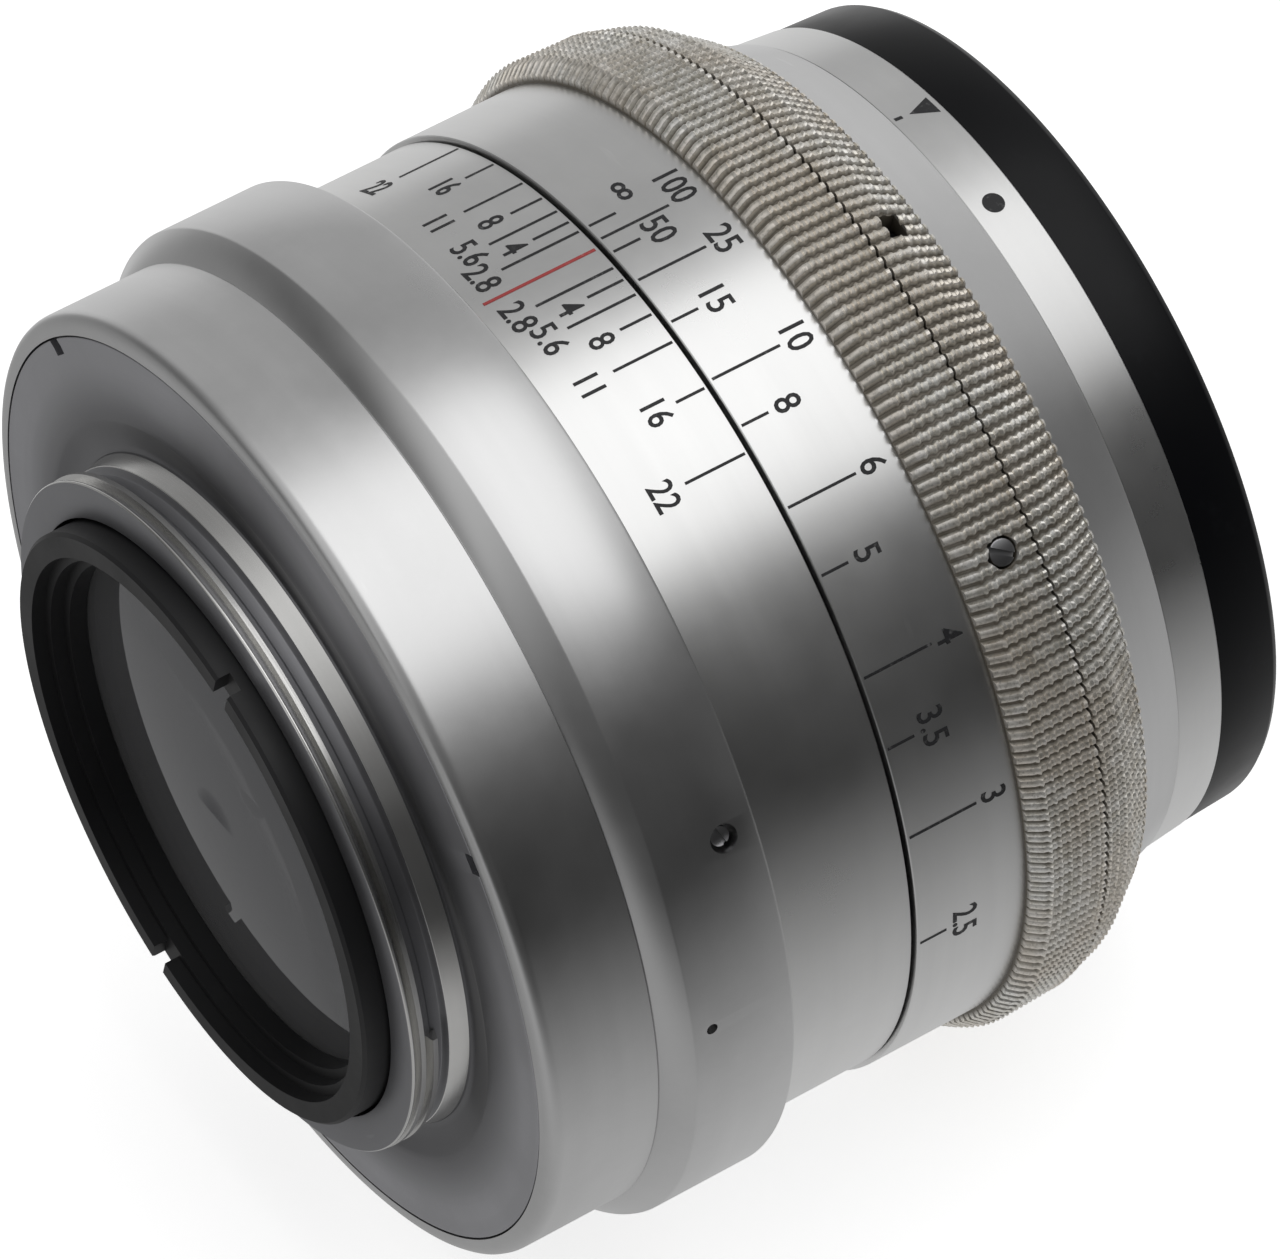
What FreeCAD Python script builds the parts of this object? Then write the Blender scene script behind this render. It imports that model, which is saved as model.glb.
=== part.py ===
import FreeCAD, Part
import math
import os
import Sketcher

# A prime lens for a screw mount, built from its mount to its filter rim.
# The optical axis is the Y axis: the camera side is +Y and the subject side is -Y.
# The origin is the centre of the seat that rests on the camera, and the red index faces +Z.
# A station is a distance forward of that seat, so y = -station. Sizes are millimetres and degrees.

SIZES = {
    # Screw mount and its flange
    "thread_radius": 21.0,
    "thread_length": 2.2,
    "thread_chamfer": 0.4,
    "thread_wall": 2.3,
    "neck_length": 1.3,
    "neck_relief": 0.2,
    "neck_fillet": 2.1,
    "neck_flare": 2.0,
    "flange_inset": 0.2,
    "flange_thickness": 2.4,
    "flange_notch_width": 0.8,
    "flange_notch_depth": 0.6,
    "flange_notch_reach": 1.3,
    "flange_notch_angle": 56.7,
    "flange_notch_spread": 102.3,
    # Rear barrel, the fixed outer body
    "band_step": 1.1,
    "band_front": 7.05,
    "rim_face_width": 0.55,
    "rim_chamfer": 0.6,
    "collar_seat_step": 1.9,
    "bearing_wall": 2.5,
    "bearing_reach": 3.55,
    "counterbore_step": 1.1,
    # Collar with its three screws
    "collar_rise": 1.5,
    "collar_slope": 1.55,
    "collar_length": 8.05,
    "collar_edge": 0.3,
    "collar_screw_radius": 0.55,
    "collar_screw_setback": 2.1,
    "collar_screw_angle": 64.6,
    "collar_screw_depth": 1.0,
    "screw_recess": 0.12,
    "collar_hole_radius": 0.35,
    "collar_hole_setback": 2.75,
    "collar_hole_angle": 85.7,
    "collar_hole_depth": 0.8,
    "screw_count": 3,
    # Fixed and turning scale rings
    "depth_scale_wall": 2.8,
    "depth_scale_length": 8.85,
    "scale_groove": 0.3,
    "scale_step": 0.3,
    "distance_scale_length": 7.25,
    "ring_edge": 0.12,
    # Focusing ring grip
    "grip_rear_step": 0.6,
    "grip_crest_step": 1.35,
    "grip_front_step": 1.2,
    "grip_bevel": 0.9,
    "grip_length": 4.7,
    "grip_screw_radius": 0.75,
    "grip_screw_setback": 1.9,
    "grip_screw_angle": 51.3,
    # Helicoid
    "nut_collar_length": 2.1,
    "nut_wall": 2.1,
    "nut_recess": 0.4,
    "keeper_gap": 0.9,
    "keeper_length": 2.0,
    "keeper_wall": 2.8,
    "focus_turn_range": 96.0,
    "infinity_turn": 3.0,
    "stop_margin": 2.0,
    "stop_pin_radius": 0.6,
    "stop_pin_reach": 2.4,
    "key_width": 3.0,
    "key_length": 6.6,
    "key_foot_width": 9.4,
    "key_foot_height": 2.0,
    "key_foot_wall": 2.6,
    "key_tongue_gap": 0.15,
    "key_screw_spread": 3.1,
    "key_screw_radius": 0.6,
    "key_screw_head_radius": 1.0,
    "key_screw_head": 0.7,
    "key_screw_length": 3.2,
    "key_screw_inset": 1.6,
    # Moving inner barrel
    "bore_step": 0.3,
    "inner_wall": 1.1,
    "inner_rear_gap": 0.5,
    "inner_reach": 0.35,
    "shoulder_width": 0.9,
    "shoulder_setback": 5.2,
    "shoulder_length": 1.0,
    "keyway_margin": 0.6,
    # Front barrel, index ring, filter rim and bezel
    "front_barrel_step": 0.2,
    "front_barrel_setback": 1.1,
    "index_ring_rear_wall": 2.0,
    "index_ring_front_wall": 1.7,
    "index_ring_length": 3.2,
    "rim_rear_wall": 1.65,
    "rim_front_wall": 1.45,
    "rim_length": 4.15,
    "rim_edge": 0.25,
    "filter_thread_wall": 1.15,
    "filter_thread_length": 2.55,
    "filter_thread_chamfer": 0.3,
    "rim_web_width": 1.4,
    "bezel_thickness": 0.6,
    "bezel_seat_step": 0.4,
    "bezel_flat_width": 1.5,
    "bezel_bore_step": 0.9,
    "bezel_depth": 2.3,
    # Aperture ring
    "aperture_ring_gap": 0.3,
    "aperture_grip_rear_wall": 6.5,
    "aperture_grip_shoulder_wall": 6.0,
    "aperture_grip_front_wall": 4.2,
    "aperture_grip_length": 4.2,
    "aperture_grip_shoulder_length": 1.8,
    "aperture_band_rear_wall": 3.2,
    "aperture_band_front_wall": 2.1,
    "aperture_band_length": 3.6,
    "drive_screw_radius": 0.6,
    "drive_screw_setback": 1.95,
    "drive_screw_angle": 14.7,
    "drive_screw_recess": 1.5,
    "drive_slot_margin": 2.3,
    "aperture_turn": 36.0,
    # Iris
    "iris_opening_margin": 0.2,
    "iris_housing_thickness": 0.8,
    "blade_count": 10,
    "blade_room": 2.0,
    "blade_first_gap": 0.12,
    "blade_pitch": 0.178,
    "blade_thickness": 0.08,
    "blade_inner_inset": 7.8,
    "blade_outer_inset": 2.6,
    "blade_tail_angle": 120.0,
    "blade_swing": 30.8,
    "blade_head_inner_inset": 3.0,
    "blade_head_overhang": 0.8,
    "blade_head_start_angle": -3.0,
    "blade_head_end_angle": 11.0,
    "pivot_inset": 1.7,
    "pivot_pin_radius": 0.5,
    "drive_arm": 2.6,
    "drive_arm_angle": 80.0,
    "drive_pin_radius": 0.42,
    "cam_slot_clearance": 0.05,
    "cam_slot_inset": 0.671,
    "cam_slot_end": 0.25,
    "cam_slot_tip": 1.05,
    "cam_disc_thickness": 0.8,
    "sleeve_wall": 0.9,
    "sleeve_overhang": 3.0,
    # Front cell and its glass
    "front_cell_wall": 1.1,
    "front_cell_flange_inset": 1.7,
    "front_cell_flange_gap": 0.7,
    "front_cell_flange_length": 1.7,
    "front_cell_nose": 3.6,
    "front_lens_inset": 2.5,
    "front_lens_depth": 4.36,
    "front_lens_front_bulge": 4.27,
    "front_lens_rear_bulge": 1.32,
    "front_lens_thickness": 4.5,
    "doublet_inset": 5.5,
    "front_doublet_depth": 5.1,
    "front_doublet_front_bulge": 4.75,
    "front_doublet_inner_bulge": 0.98,
    "front_doublet_rear_bulge": 4.29,
    "front_doublet_thickness": 6.0,
    "front_flint_thickness": 2.0,
    "doublet_land": 3.5,
    "doublet_lip_width": 2.7,
    "doublet_lip": 1.0,
    "retainer_width": 1.3,
    "retainer_length": 1.7,
    # Rear cell and its glass
    "rear_cell_overhang": 0.5,
    "rear_cell_flange_length": 3.0,
    "rear_lens_inset": 2.5,
    "rear_lens_depth": 6.28,
    "rear_lens_front_bulge": 2.94,
    "rear_lens_rear_bulge": 1.2,
    "rear_doublet_depth": 1.3,
    "rear_doublet_front_bulge": 3.63,
    "rear_doublet_inner_bulge": 0.98,
    "rear_doublet_rear_bulge": 4.09,
    "rear_doublet_thickness": 5.6,
    "rear_flint_thickness": 1.6,
    "rear_ring_wall": 1.1,
    "rear_ring_reach": 1.75,
    "rear_ring_overhang": 1.2,
    "rear_ring_edge": 0.2,
    "rear_ring_step": 0.6,
    "rear_ring_step_length": 0.9,
    "rear_ring_lip": 0.2,
    "rear_ring_slot_width": 1.2,
    "rear_ring_slot_depth": 0.9,
    "rear_ring_slot_angle": 19.4,
    # Fits
    "seat_gap": 0.02,
    "running_gap": 0.05,
    "end_gap": 0.1,
    "loose_gap": 0.2,
    "glass_gap": 0.02,
    "retainer_gap": 0.08,
    "screw_gap": 0.03,
}

# Radii that follow from the mount thread, and stations that follow from the seat
FOLLOWING = {
    "throat_radius": "thread_radius - thread_wall",
    "inner_bore_radius": "thread_radius - bore_step",
    "barrel_bore_radius": "inner_bore_radius + inner_wall + nut_wall + 2 * running_gap",
    "counterbore_radius": "barrel_bore_radius + counterbore_step",
    "nut_collar_radius": "counterbore_radius - end_gap",
    "keeper_radius": "counterbore_radius - keeper_wall",
    "bearing_radius": "barrel_bore_radius + bearing_wall",
    "collar_seat_radius": "bearing_radius + collar_seat_step",
    "flange_radius": "collar_seat_radius - flange_inset",
    "rim_face_radius": "flange_radius + rim_face_width",
    "band_radius": "collar_seat_radius + band_step",
    "collar_radius": "band_radius + collar_rise",
    "depth_scale_radius": "bearing_radius + depth_scale_wall",
    "distance_scale_radius": "depth_scale_radius + scale_step",
    "grip_rear_radius": "distance_scale_radius + grip_rear_step",
    "grip_crest_radius": "distance_scale_radius + grip_crest_step",
    "grip_front_radius": "distance_scale_radius + grip_front_step",
    "key_outer_radius": "counterbore_radius - loose_gap",
    "key_foot_inner_radius": "key_outer_radius - key_foot_wall",
    "key_tongue_radius": "inner_bore_radius + key_tongue_gap",
    "key_screw_circle": "key_outer_radius - key_screw_inset",
    "front_barrel_radius": "barrel_bore_radius + front_barrel_step",
    "index_ring_rear_radius": "front_barrel_radius + index_ring_rear_wall",
    "index_ring_front_radius": "front_barrel_radius + index_ring_front_wall",
    "rim_rear_radius": "front_barrel_radius + rim_rear_wall",
    "rim_front_radius": "front_barrel_radius + rim_front_wall",
    "filter_thread_radius": "rim_front_radius - filter_thread_wall",
    "bezel_seat_radius": "filter_thread_radius - bezel_seat_step",
    "rim_web_radius": "bezel_seat_radius - rim_web_width",
    "bezel_flat_radius": "bezel_seat_radius - bezel_flat_width",
    "aperture_grip_rear_radius": "front_barrel_radius + aperture_grip_rear_wall",
    "aperture_grip_shoulder_radius": "front_barrel_radius + aperture_grip_shoulder_wall",
    "aperture_grip_front_radius": "front_barrel_radius + aperture_grip_front_wall",
    "aperture_band_rear_radius": "front_barrel_radius + aperture_band_rear_wall",
    "aperture_band_front_radius": "front_barrel_radius + aperture_band_front_wall",
    "sleeve_radius": "inner_bore_radius - end_gap",
    "sleeve_bore_radius": "sleeve_radius - sleeve_wall",
    "pivot_circle_radius": "inner_bore_radius - pivot_inset",
    "cam_slot_radius": "pivot_circle_radius - cam_slot_inset",
    "blade_inner_radius": "pivot_circle_radius - blade_inner_inset",
    "blade_outer_radius": "pivot_circle_radius - blade_outer_inset",
    "blade_head_inner_radius": "pivot_circle_radius - blade_head_inner_inset",
    "blade_head_outer_radius": "pivot_circle_radius + blade_head_overhang",
    "iris_opening_radius": "blade_inner_radius - iris_opening_margin",
    "front_cell_radius": "sleeve_bore_radius - loose_gap",
    "front_cell_mouth_radius": "front_cell_radius - front_cell_wall",
    "front_cell_flange_radius": "front_barrel_radius - front_cell_flange_inset",
    "front_lens_radius": "front_cell_radius - front_lens_inset",
    "bezel_bore_radius": "front_lens_radius + bezel_bore_step",
    "doublet_radius": "front_cell_radius - doublet_inset",
    "doublet_clear_radius": "doublet_radius - doublet_land",
    "doublet_lip_radius": "doublet_radius - doublet_lip_width",
    "rear_cell_radius": "throat_radius - loose_gap",
    "rear_lens_radius": "rear_cell_radius - rear_lens_inset",
    "rear_ring_thread_radius": "rear_cell_radius - rear_ring_wall",
    "rear_ring_bore_radius": "rear_lens_radius - rear_ring_lip",
    "thread_rear": "-(neck_length + thread_length)",
    "rear_cell_rear": "thread_rear - rear_cell_overhang",
    "rear_ring_front": "rear_cell_rear + rear_ring_reach",
    "rear_ring_rear": "rear_cell_rear - rear_ring_overhang",
    "rear_lens_seat": "rear_cell_rear + rear_lens_depth",
    "inner_rear": "flange_thickness + inner_rear_gap",
    "key_front": "flange_thickness + key_length",
    "keyway_front": "key_front + keyway_margin",
    "nut_rear": "key_front + keeper_gap + keeper_length + end_gap",
    "shoulder_front": "nut_rear + shoulder_setback",
    "rear_doublet_seat": "shoulder_front - rear_doublet_depth",
    "rear_cell_flange_rear": "shoulder_front - shoulder_length - rear_cell_flange_length",
    "housing_front": "shoulder_front + iris_housing_thickness",
    "cam_disc_rear": "housing_front + blade_room",
    "cam_disc_front": "cam_disc_rear + cam_disc_thickness",
    "front_cell_rear": "cam_disc_front + loose_gap",
    "front_doublet_seat": "front_cell_rear + front_doublet_depth",
    "collar_front": "band_front + collar_length",
    "collar_screw_station": "collar_front - collar_screw_setback",
    "collar_hole_station": "band_front + collar_hole_setback",
    "depth_scale_front": "collar_front + depth_scale_length",
    "bearing_front": "depth_scale_front + bearing_reach",
    "distance_scale_rear": "depth_scale_front + scale_groove",
    "distance_scale_front": "distance_scale_rear + distance_scale_length",
    "grip_front": "distance_scale_front + grip_length",
    "grip_screw_station": "grip_front - grip_screw_setback",
    "nut_front": "grip_front - nut_recess",
    "inner_front": "grip_front + inner_reach",
    "aperture_ring_rear": "grip_front + aperture_ring_gap",
    "aperture_grip_shoulder": "aperture_ring_rear + aperture_grip_shoulder_length",
    "aperture_grip_front": "aperture_ring_rear + aperture_grip_length",
    "aperture_ring_front": "aperture_grip_front + aperture_band_length",
    "drive_screw_station": "aperture_ring_rear + drive_screw_setback",
    "sleeve_front": "drive_screw_station + sleeve_overhang",
    "front_cell_flange_rear": "sleeve_front + front_cell_flange_gap",
    "front_cell_front": "front_cell_flange_rear + front_cell_nose",
    "front_lens_seat": "front_cell_flange_rear - front_lens_depth",
    "index_ring_rear": "aperture_ring_front + end_gap",
    "rim_rear": "index_ring_rear + index_ring_length",
    "rim_front": "rim_rear + rim_length",
    "front_barrel_front": "rim_rear - front_barrel_setback",
}

# The radius at which each glass face has fallen back by its bulge, which gives its curve
GLASS_FACES = {
    "front_lens_front": "front_lens_radius",
    "front_lens_rear": "front_lens_radius",
    "front_doublet_front": "doublet_radius",
    "front_doublet_inner": "doublet_radius",
    "front_doublet_rear": "doublet_clear_radius",
    "rear_lens_front": "rear_lens_radius",
    "rear_lens_rear": "rear_lens_radius",
    "rear_doublet_front": "doublet_clear_radius",
    "rear_doublet_inner": "doublet_radius",
    "rear_doublet_rear": "doublet_radius",
}
for face, edge in GLASS_FACES.items():
    bulge = face + "_bulge"
    FOLLOWING[face + "_curve"] = "(%s ^ 2 + %s ^ 2) / (2 * %s)" % (edge, bulge, bulge)

doc = FreeCAD.newDocument("PrimeLens")
sheet = doc.addObject("Spreadsheet::Sheet", "Sizes")
cells = list(SIZES.items()) + [(alias, "=" + formula) for alias, formula in FOLLOWING.items()]
for row, (alias, content) in enumerate(cells, 1):
    sheet.set("A%d" % row, alias)
    sheet.set("B%d" % row, str(content))
    sheet.setAlias("B%d" % row, alias)
doc.recompute()


class Size:
    """A number together with the sheet formula that it comes from."""

    def __init__(self, number, formula):
        self.number = float(number)
        self.formula = formula

    def combine(self, other, sign):
        other = as_size(other)
        left, right = self.number, other.number
        number = {"+": left + right, "-": left - right, "*": left * right}.get(sign)
        if sign == "/":
            number = left / right
        return Size(number, "(%s %s %s)" % (self.formula, sign, other.formula))

    def __add__(self, other):
        return self.combine(other, "+")

    def __sub__(self, other):
        return self.combine(other, "-")

    def __mul__(self, other):
        return self.combine(other, "*")

    def __truediv__(self, other):
        return self.combine(other, "/")

    def __neg__(self):
        return Size(-self.number, "(-%s)" % self.formula)


def as_size(value):
    return value if isinstance(value, Size) else Size(value, "%.9g" % value)


def root(value):
    return Size(math.sqrt(value.number), "sqrt(%s)" % value.formula)


def cosine(angle):
    return Size(math.cos(math.radians(angle.number)), "cos(%s * 1 deg)" % angle.formula)


def sine(angle):
    return Size(math.sin(math.radians(angle.number)), "sin(%s * 1 deg)" % angle.formula)


class SheetSizes:
    """Reads a driving size from the sheet by its alias."""

    def __getattr__(self, alias):
        return Size(sheet.get(alias), "Sizes." + alias)


size = SheetSizes()
ZERO = as_size(0)
FULL_TURN = 360


def origin_part(body, role):
    return [part for part in body.Origin.OriginFeatures if part.Role == role][0]


def facing(angle):
    """The turn about the optical axis that brings +X to an angle from +Z towards -X."""
    return FreeCAD.Rotation(FreeCAD.Vector(0, 1, 0), -90.0 - angle)


def centre_of_arc(start, end, radius):
    """Centre of the arc from start to end; a positive radius has it left of the way there."""
    chord = end - start
    half = chord.Length / 2
    across = FreeCAD.Vector(-chord.y, chord.x, 0)
    across.normalize()
    height = math.sqrt(max(radius * radius - half * half, 0.0))
    return (start + end) / 2 + across * math.copysign(height, radius)


def add_edge(sketch, start, end, radius):
    """Add one edge and return its number and the handles of its first and last point."""
    if radius is None:
        return sketch.addGeometry(Part.LineSegment(start, end), False), 1, 2
    centre = centre_of_arc(start, end, radius.number)
    low, high = (start, end) if radius.number > 0 else (end, start)
    first = math.atan2(low.y - centre.y, low.x - centre.x)
    last = math.atan2(high.y - centre.y, high.x - centre.x)
    if last <= first:
        last += 2 * math.pi
    circle = Part.Circle(centre, FreeCAD.Vector(0, 0, 1), abs(radius.number))
    number = sketch.addGeometry(Part.ArcOfCircle(circle, first, last), False)
    return (number, 1, 2) if radius.number > 0 else (number, 2, 1)


def bind(sketch, kind, arguments, value):
    number = sketch.addConstraint(Sketcher.Constraint(kind, *arguments, value.number))
    sketch.setExpression("Constraints[%d]" % number, value.formula)


def pin_point(sketch, edge, handle, x, y):
    """Hold a point at a place that follows the sheet, or on an axis where its value is zero."""
    for kind, value, axis in (("DistanceX", x, -2), ("DistanceY", y, -1)):
        if value.formula == ZERO.formula:
            sketch.addConstraint(Sketcher.Constraint("PointOnObject", edge, handle, axis))
        else:
            bind(sketch, kind, (edge, handle), value)


def draw(sketch, corners):
    """Draw a closed outline: a corner is (x, y), or (x, y, radius) where an arc leaves it."""
    corners = [tuple(as_size(value) for value in corner) for corner in corners]
    points = [FreeCAD.Vector(corner[0].number, corner[1].number, 0) for corner in corners]
    edges = []
    for index, corner in enumerate(corners):
        radius = corner[2] if len(corner) > 2 else None
        following = points[(index + 1) % len(points)]
        edges.append(add_edge(sketch, points[index], following, radius))
    for index, (edge, first, last) in enumerate(edges):
        following, following_first, _ = edges[(index + 1) % len(edges)]
        joint = Sketcher.Constraint("Coincident", edge, last, following, following_first)
        sketch.addConstraint(joint)
    for corner, (edge, first, last) in zip(corners, edges):
        pin_point(sketch, edge, first, corner[0], corner[1])
        if len(corner) > 2:
            radius = corner[2] if corner[2].number > 0 else -corner[2]
            bind(sketch, "Radius", (edge,), radius)


def draw_circle(sketch, x, y, radius):
    centre = FreeCAD.Vector(as_size(x).number, as_size(y).number, 0)
    circle = Part.Circle(centre, FreeCAD.Vector(0, 0, 1), radius.number)
    edge = sketch.addGeometry(circle, False)
    pin_point(sketch, edge, 3, as_size(x), as_size(y))
    bind(sketch, "Radius", (edge,), radius)


def new_sketch(body, name, plane, rotation, letter, offset):
    sketch = body.newObject("Sketcher::SketchObject", name)
    sketch.AttachmentSupport = [(origin_part(body, plane), "")]
    sketch.MapMode = "FlatFace"
    base = FreeCAD.Vector(0, 0, 0)
    setattr(base, letter, offset.number)
    sketch.AttachmentOffset = FreeCAD.Placement(base, rotation)
    sketch.setExpression("AttachmentOffset.Base." + letter, offset.formula)
    return sketch


def side_sketch(body, name, station=ZERO, angle=None):
    """A sketch through the axis: x is the radius, and y runs back from a station."""
    rotation = facing(angle.number) if angle else FreeCAD.Rotation()
    return new_sketch(body, name, "XY_Plane", rotation, "y", -station)


def face_sketch(body, name, station, angle=None):
    """A sketch square to the axis, seen from the front: x is X, or points out at an angle."""
    turn = 90.0 + angle.number if angle else 0.0
    rotation = FreeCAD.Rotation(FreeCAD.Vector(0, 0, 1), turn)
    return new_sketch(body, name, "XZ_Plane", rotation, "z", station)


def new_body(label):
    body = doc.addObject("PartDesign::Body", label)
    body.Label = label
    body.AllowCompound = True
    return body


def turn_about(body, name, kind, sketch, axis, angle=None):
    """Revolve a sketch, or groove with it, round one of its own axes."""
    feature = body.newObject(kind, name)
    feature.Profile = sketch
    feature.ReferenceAxis = (sketch, [axis])
    feature.Angle = angle.number if angle else FULL_TURN
    if angle:
        feature.setExpression("Angle", angle.formula)
    return feature


def ring(label, outline):
    """A new body: an outline of (radius, station) corners turned round the optical axis."""
    body = new_body(label)
    sketch = side_sketch(body, label + "_outline")
    draw(sketch, [(corner[0], -as_size(corner[1])) + tuple(corner[2:]) for corner in outline])
    turn_about(body, label + "_ring", "PartDesign::Revolution", sketch, "V_Axis")
    return body


def rod(body, name, station, angle, radius, inner, outer, kind="PartDesign::Revolution"):
    """A round rod that points out from the axis, or with a groove a round hole."""
    sketch = side_sketch(body, name + "_outline", station, angle)
    draw(sketch, [(inner, ZERO), (outer, ZERO), (outer, radius), (inner, radius)])
    return turn_about(body, name, kind, sketch, "H_Axis")


def round_hole(body, name, station, angle, radius, inner, outer):
    doc.recompute()
    return rod(body, name, station, angle, radius, inner, outer, "PartDesign::Groove")


def arc_slot(body, name, station, first_angle, sweep, half_width, inner, outer):
    """A slot through a wall that runs from an angle back towards +Z round the axis."""
    doc.recompute()
    sketch = side_sketch(body, name + "_outline", station, first_angle)
    draw(sketch, rectangle(inner, outer, -half_width, half_width))
    return turn_about(body, name, "PartDesign::Groove", sketch, "V_Axis", sweep)


def repeat(body, name, feature, count, spread=None):
    doc.recompute()
    pattern = body.newObject("PartDesign::PolarPattern", name)
    pattern.Originals = [feature]
    pattern.Axis = (origin_part(body, "Y_Axis"), [""])
    pattern.Angle = spread.number if spread else FULL_TURN
    if spread:
        pattern.setExpression("Angle", spread.formula)
    pattern.Occurrences = int(count.number)
    pattern.setExpression("Occurrences", count.formula)
    body.Tip = pattern
    return pattern


def pad(body, name, sketch, length, forward=True):
    feature = body.newObject("PartDesign::Pad", name)
    feature.Profile = sketch
    feature.Reversed = not forward
    feature.Length = length.number
    feature.setExpression("Length", length.formula)
    return feature


def pocket(body, name, sketch, depth, forward=True):
    doc.recompute()
    feature = body.newObject("PartDesign::Pocket", name)
    feature.Profile = sketch
    feature.Reversed = forward
    feature.Length = depth.number
    feature.setExpression("Length", depth.formula)
    return feature


def rectangle(left, right, bottom, top):
    return [(left, bottom), (right, bottom), (right, top), (left, top)]


def fall(curve, radius):
    """How far a spherical face falls back at a radius; a hollow face has a negative curve."""
    reach = root(curve * curve - radius * radius)
    return curve - reach if curve.number > 0 else curve + reach


# Radii and stations that only this file's outlines need
neck_radius = size.thread_radius - size.neck_relief
collar_slope_front = size.band_front + size.collar_slope
inner_radius = size.inner_bore_radius + size.inner_wall
nut_bore_radius = inner_radius + size.running_gap
nut_radius = nut_bore_radius + size.nut_wall
nut_seat_radius = nut_radius + size.seat_gap
nut_collar_front = size.nut_rear + size.nut_collar_length
barrel_shoulder = nut_collar_front + size.end_gap
keeper_front = size.nut_rear - size.end_gap
stop_pin_station = size.nut_rear + size.nut_collar_length / 2
stop_pin_angle = (size.collar_screw_angle + 180 + size.focus_turn_range / 2
                  - size.infinity_turn)
bearing_relief = size.bearing_front + size.running_gap * 4
bore_seat_radius = size.inner_bore_radius - size.seat_gap
shoulder_radius = size.inner_bore_radius - size.shoulder_width
shoulder_rear = size.shoulder_front - size.shoulder_length
index_bore_radius = size.front_barrel_radius + size.seat_gap
aperture_bore_radius = size.front_barrel_radius + size.running_gap
bezel_front = size.rim_front - size.filter_thread_length
bezel_rear = bezel_front - size.bezel_thickness
key_foot_front = size.flange_thickness + size.key_foot_height
key_screw_bite = size.key_screw_length - size.key_foot_height


def taper(station, rear, rear_radius, front, front_radius):
    """Radius of a cone at a station between its two ends."""
    return rear_radius + (front_radius - rear_radius) * (station - rear) / (front - rear)


grip_crest_station = size.distance_scale_front + size.grip_bevel
grip_screw_top = taper(size.grip_screw_station, grip_crest_station, size.grip_crest_radius,
                       size.grip_front, size.grip_front_radius) - size.screw_recess
drive_screw_top = taper(size.drive_screw_station, size.aperture_grip_shoulder,
                        size.aperture_grip_shoulder_radius, size.aperture_grip_front,
                        size.aperture_grip_front_radius) - size.drive_screw_recess


# Fixed body: mount flange, rear barrel, collar, depth-of-field ring and the helicoid's keepers


def key_screw_places(sketch, radius):
    for side in (-1, 1):
        draw_circle(sketch, size.key_screw_spread * side, -size.key_screw_circle, radius)


def make_mount_flange():
    """Screw mount: thread, plain neck with a hollow fillet, and the flange disc's seat."""
    body = ring("mount_flange", [
        (size.throat_radius, size.thread_rear),
        (size.thread_radius - size.thread_chamfer, size.thread_rear),
        (size.thread_radius, size.thread_rear + size.thread_chamfer),
        (size.thread_radius, -size.neck_length),
        (neck_radius, -size.neck_length, size.neck_fillet),
        (neck_radius + size.neck_flare, ZERO),
        (size.flange_radius, ZERO),
        (size.flange_radius, size.flange_thickness),
        (size.throat_radius, size.flange_thickness),
    ])
    notch_sketch = face_sketch(body, "notch_outline", ZERO, size.flange_notch_angle)
    half = size.flange_notch_width / 2
    inner = size.flange_radius - size.flange_notch_reach
    draw(notch_sketch, rectangle(inner, size.flange_radius + size.loose_gap, -half, half))
    notch = pocket(body, "notch", notch_sketch, size.flange_notch_depth)
    repeat(body, "notches", notch, as_size(2), size.flange_notch_spread)
    hole_sketch = face_sketch(body, "key_screw_hole_outline", size.flange_thickness)
    key_screw_places(hole_sketch, size.key_screw_radius + size.screw_gap)
    pocket(body, "key_screw_holes", hole_sketch, key_screw_bite + size.screw_gap, False)


def make_rear_barrel():
    """Outer barrel: the wide rear band, seats for two rings and the focusing bearing."""
    body = ring("rear_barrel", [
        (size.flange_radius + size.seat_gap, ZERO),
        (size.rim_face_radius, ZERO),
        (size.band_radius, size.rim_chamfer),
        (size.band_radius, size.band_front),
        (size.collar_seat_radius, size.band_front),
        (size.collar_seat_radius, size.collar_front),
        (size.bearing_radius, size.collar_front),
        (size.bearing_radius, size.bearing_front),
        (size.barrel_bore_radius, size.bearing_front),
        (size.barrel_bore_radius, barrel_shoulder),
        (size.counterbore_radius, barrel_shoulder),
        (size.counterbore_radius, size.flange_thickness),
        (size.flange_radius + size.seat_gap, size.flange_thickness),
    ])
    hole = round_hole(body, "collar_screw_hole", size.collar_screw_station,
                      size.collar_screw_angle, size.collar_screw_radius + size.screw_gap,
                      size.collar_seat_radius - size.collar_screw_depth - size.screw_gap,
                      size.collar_seat_radius + size.loose_gap)
    repeat(body, "collar_screw_holes", hole, size.screw_count)
    arc_slot(body, "focus_stop_slot", stop_pin_station,
             stop_pin_angle + size.infinity_turn + size.stop_margin,
             size.focus_turn_range + size.stop_margin * 2,
             size.stop_pin_radius + size.end_gap,
             size.counterbore_radius - size.loose_gap, size.collar_seat_radius + size.loose_gap)


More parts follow.
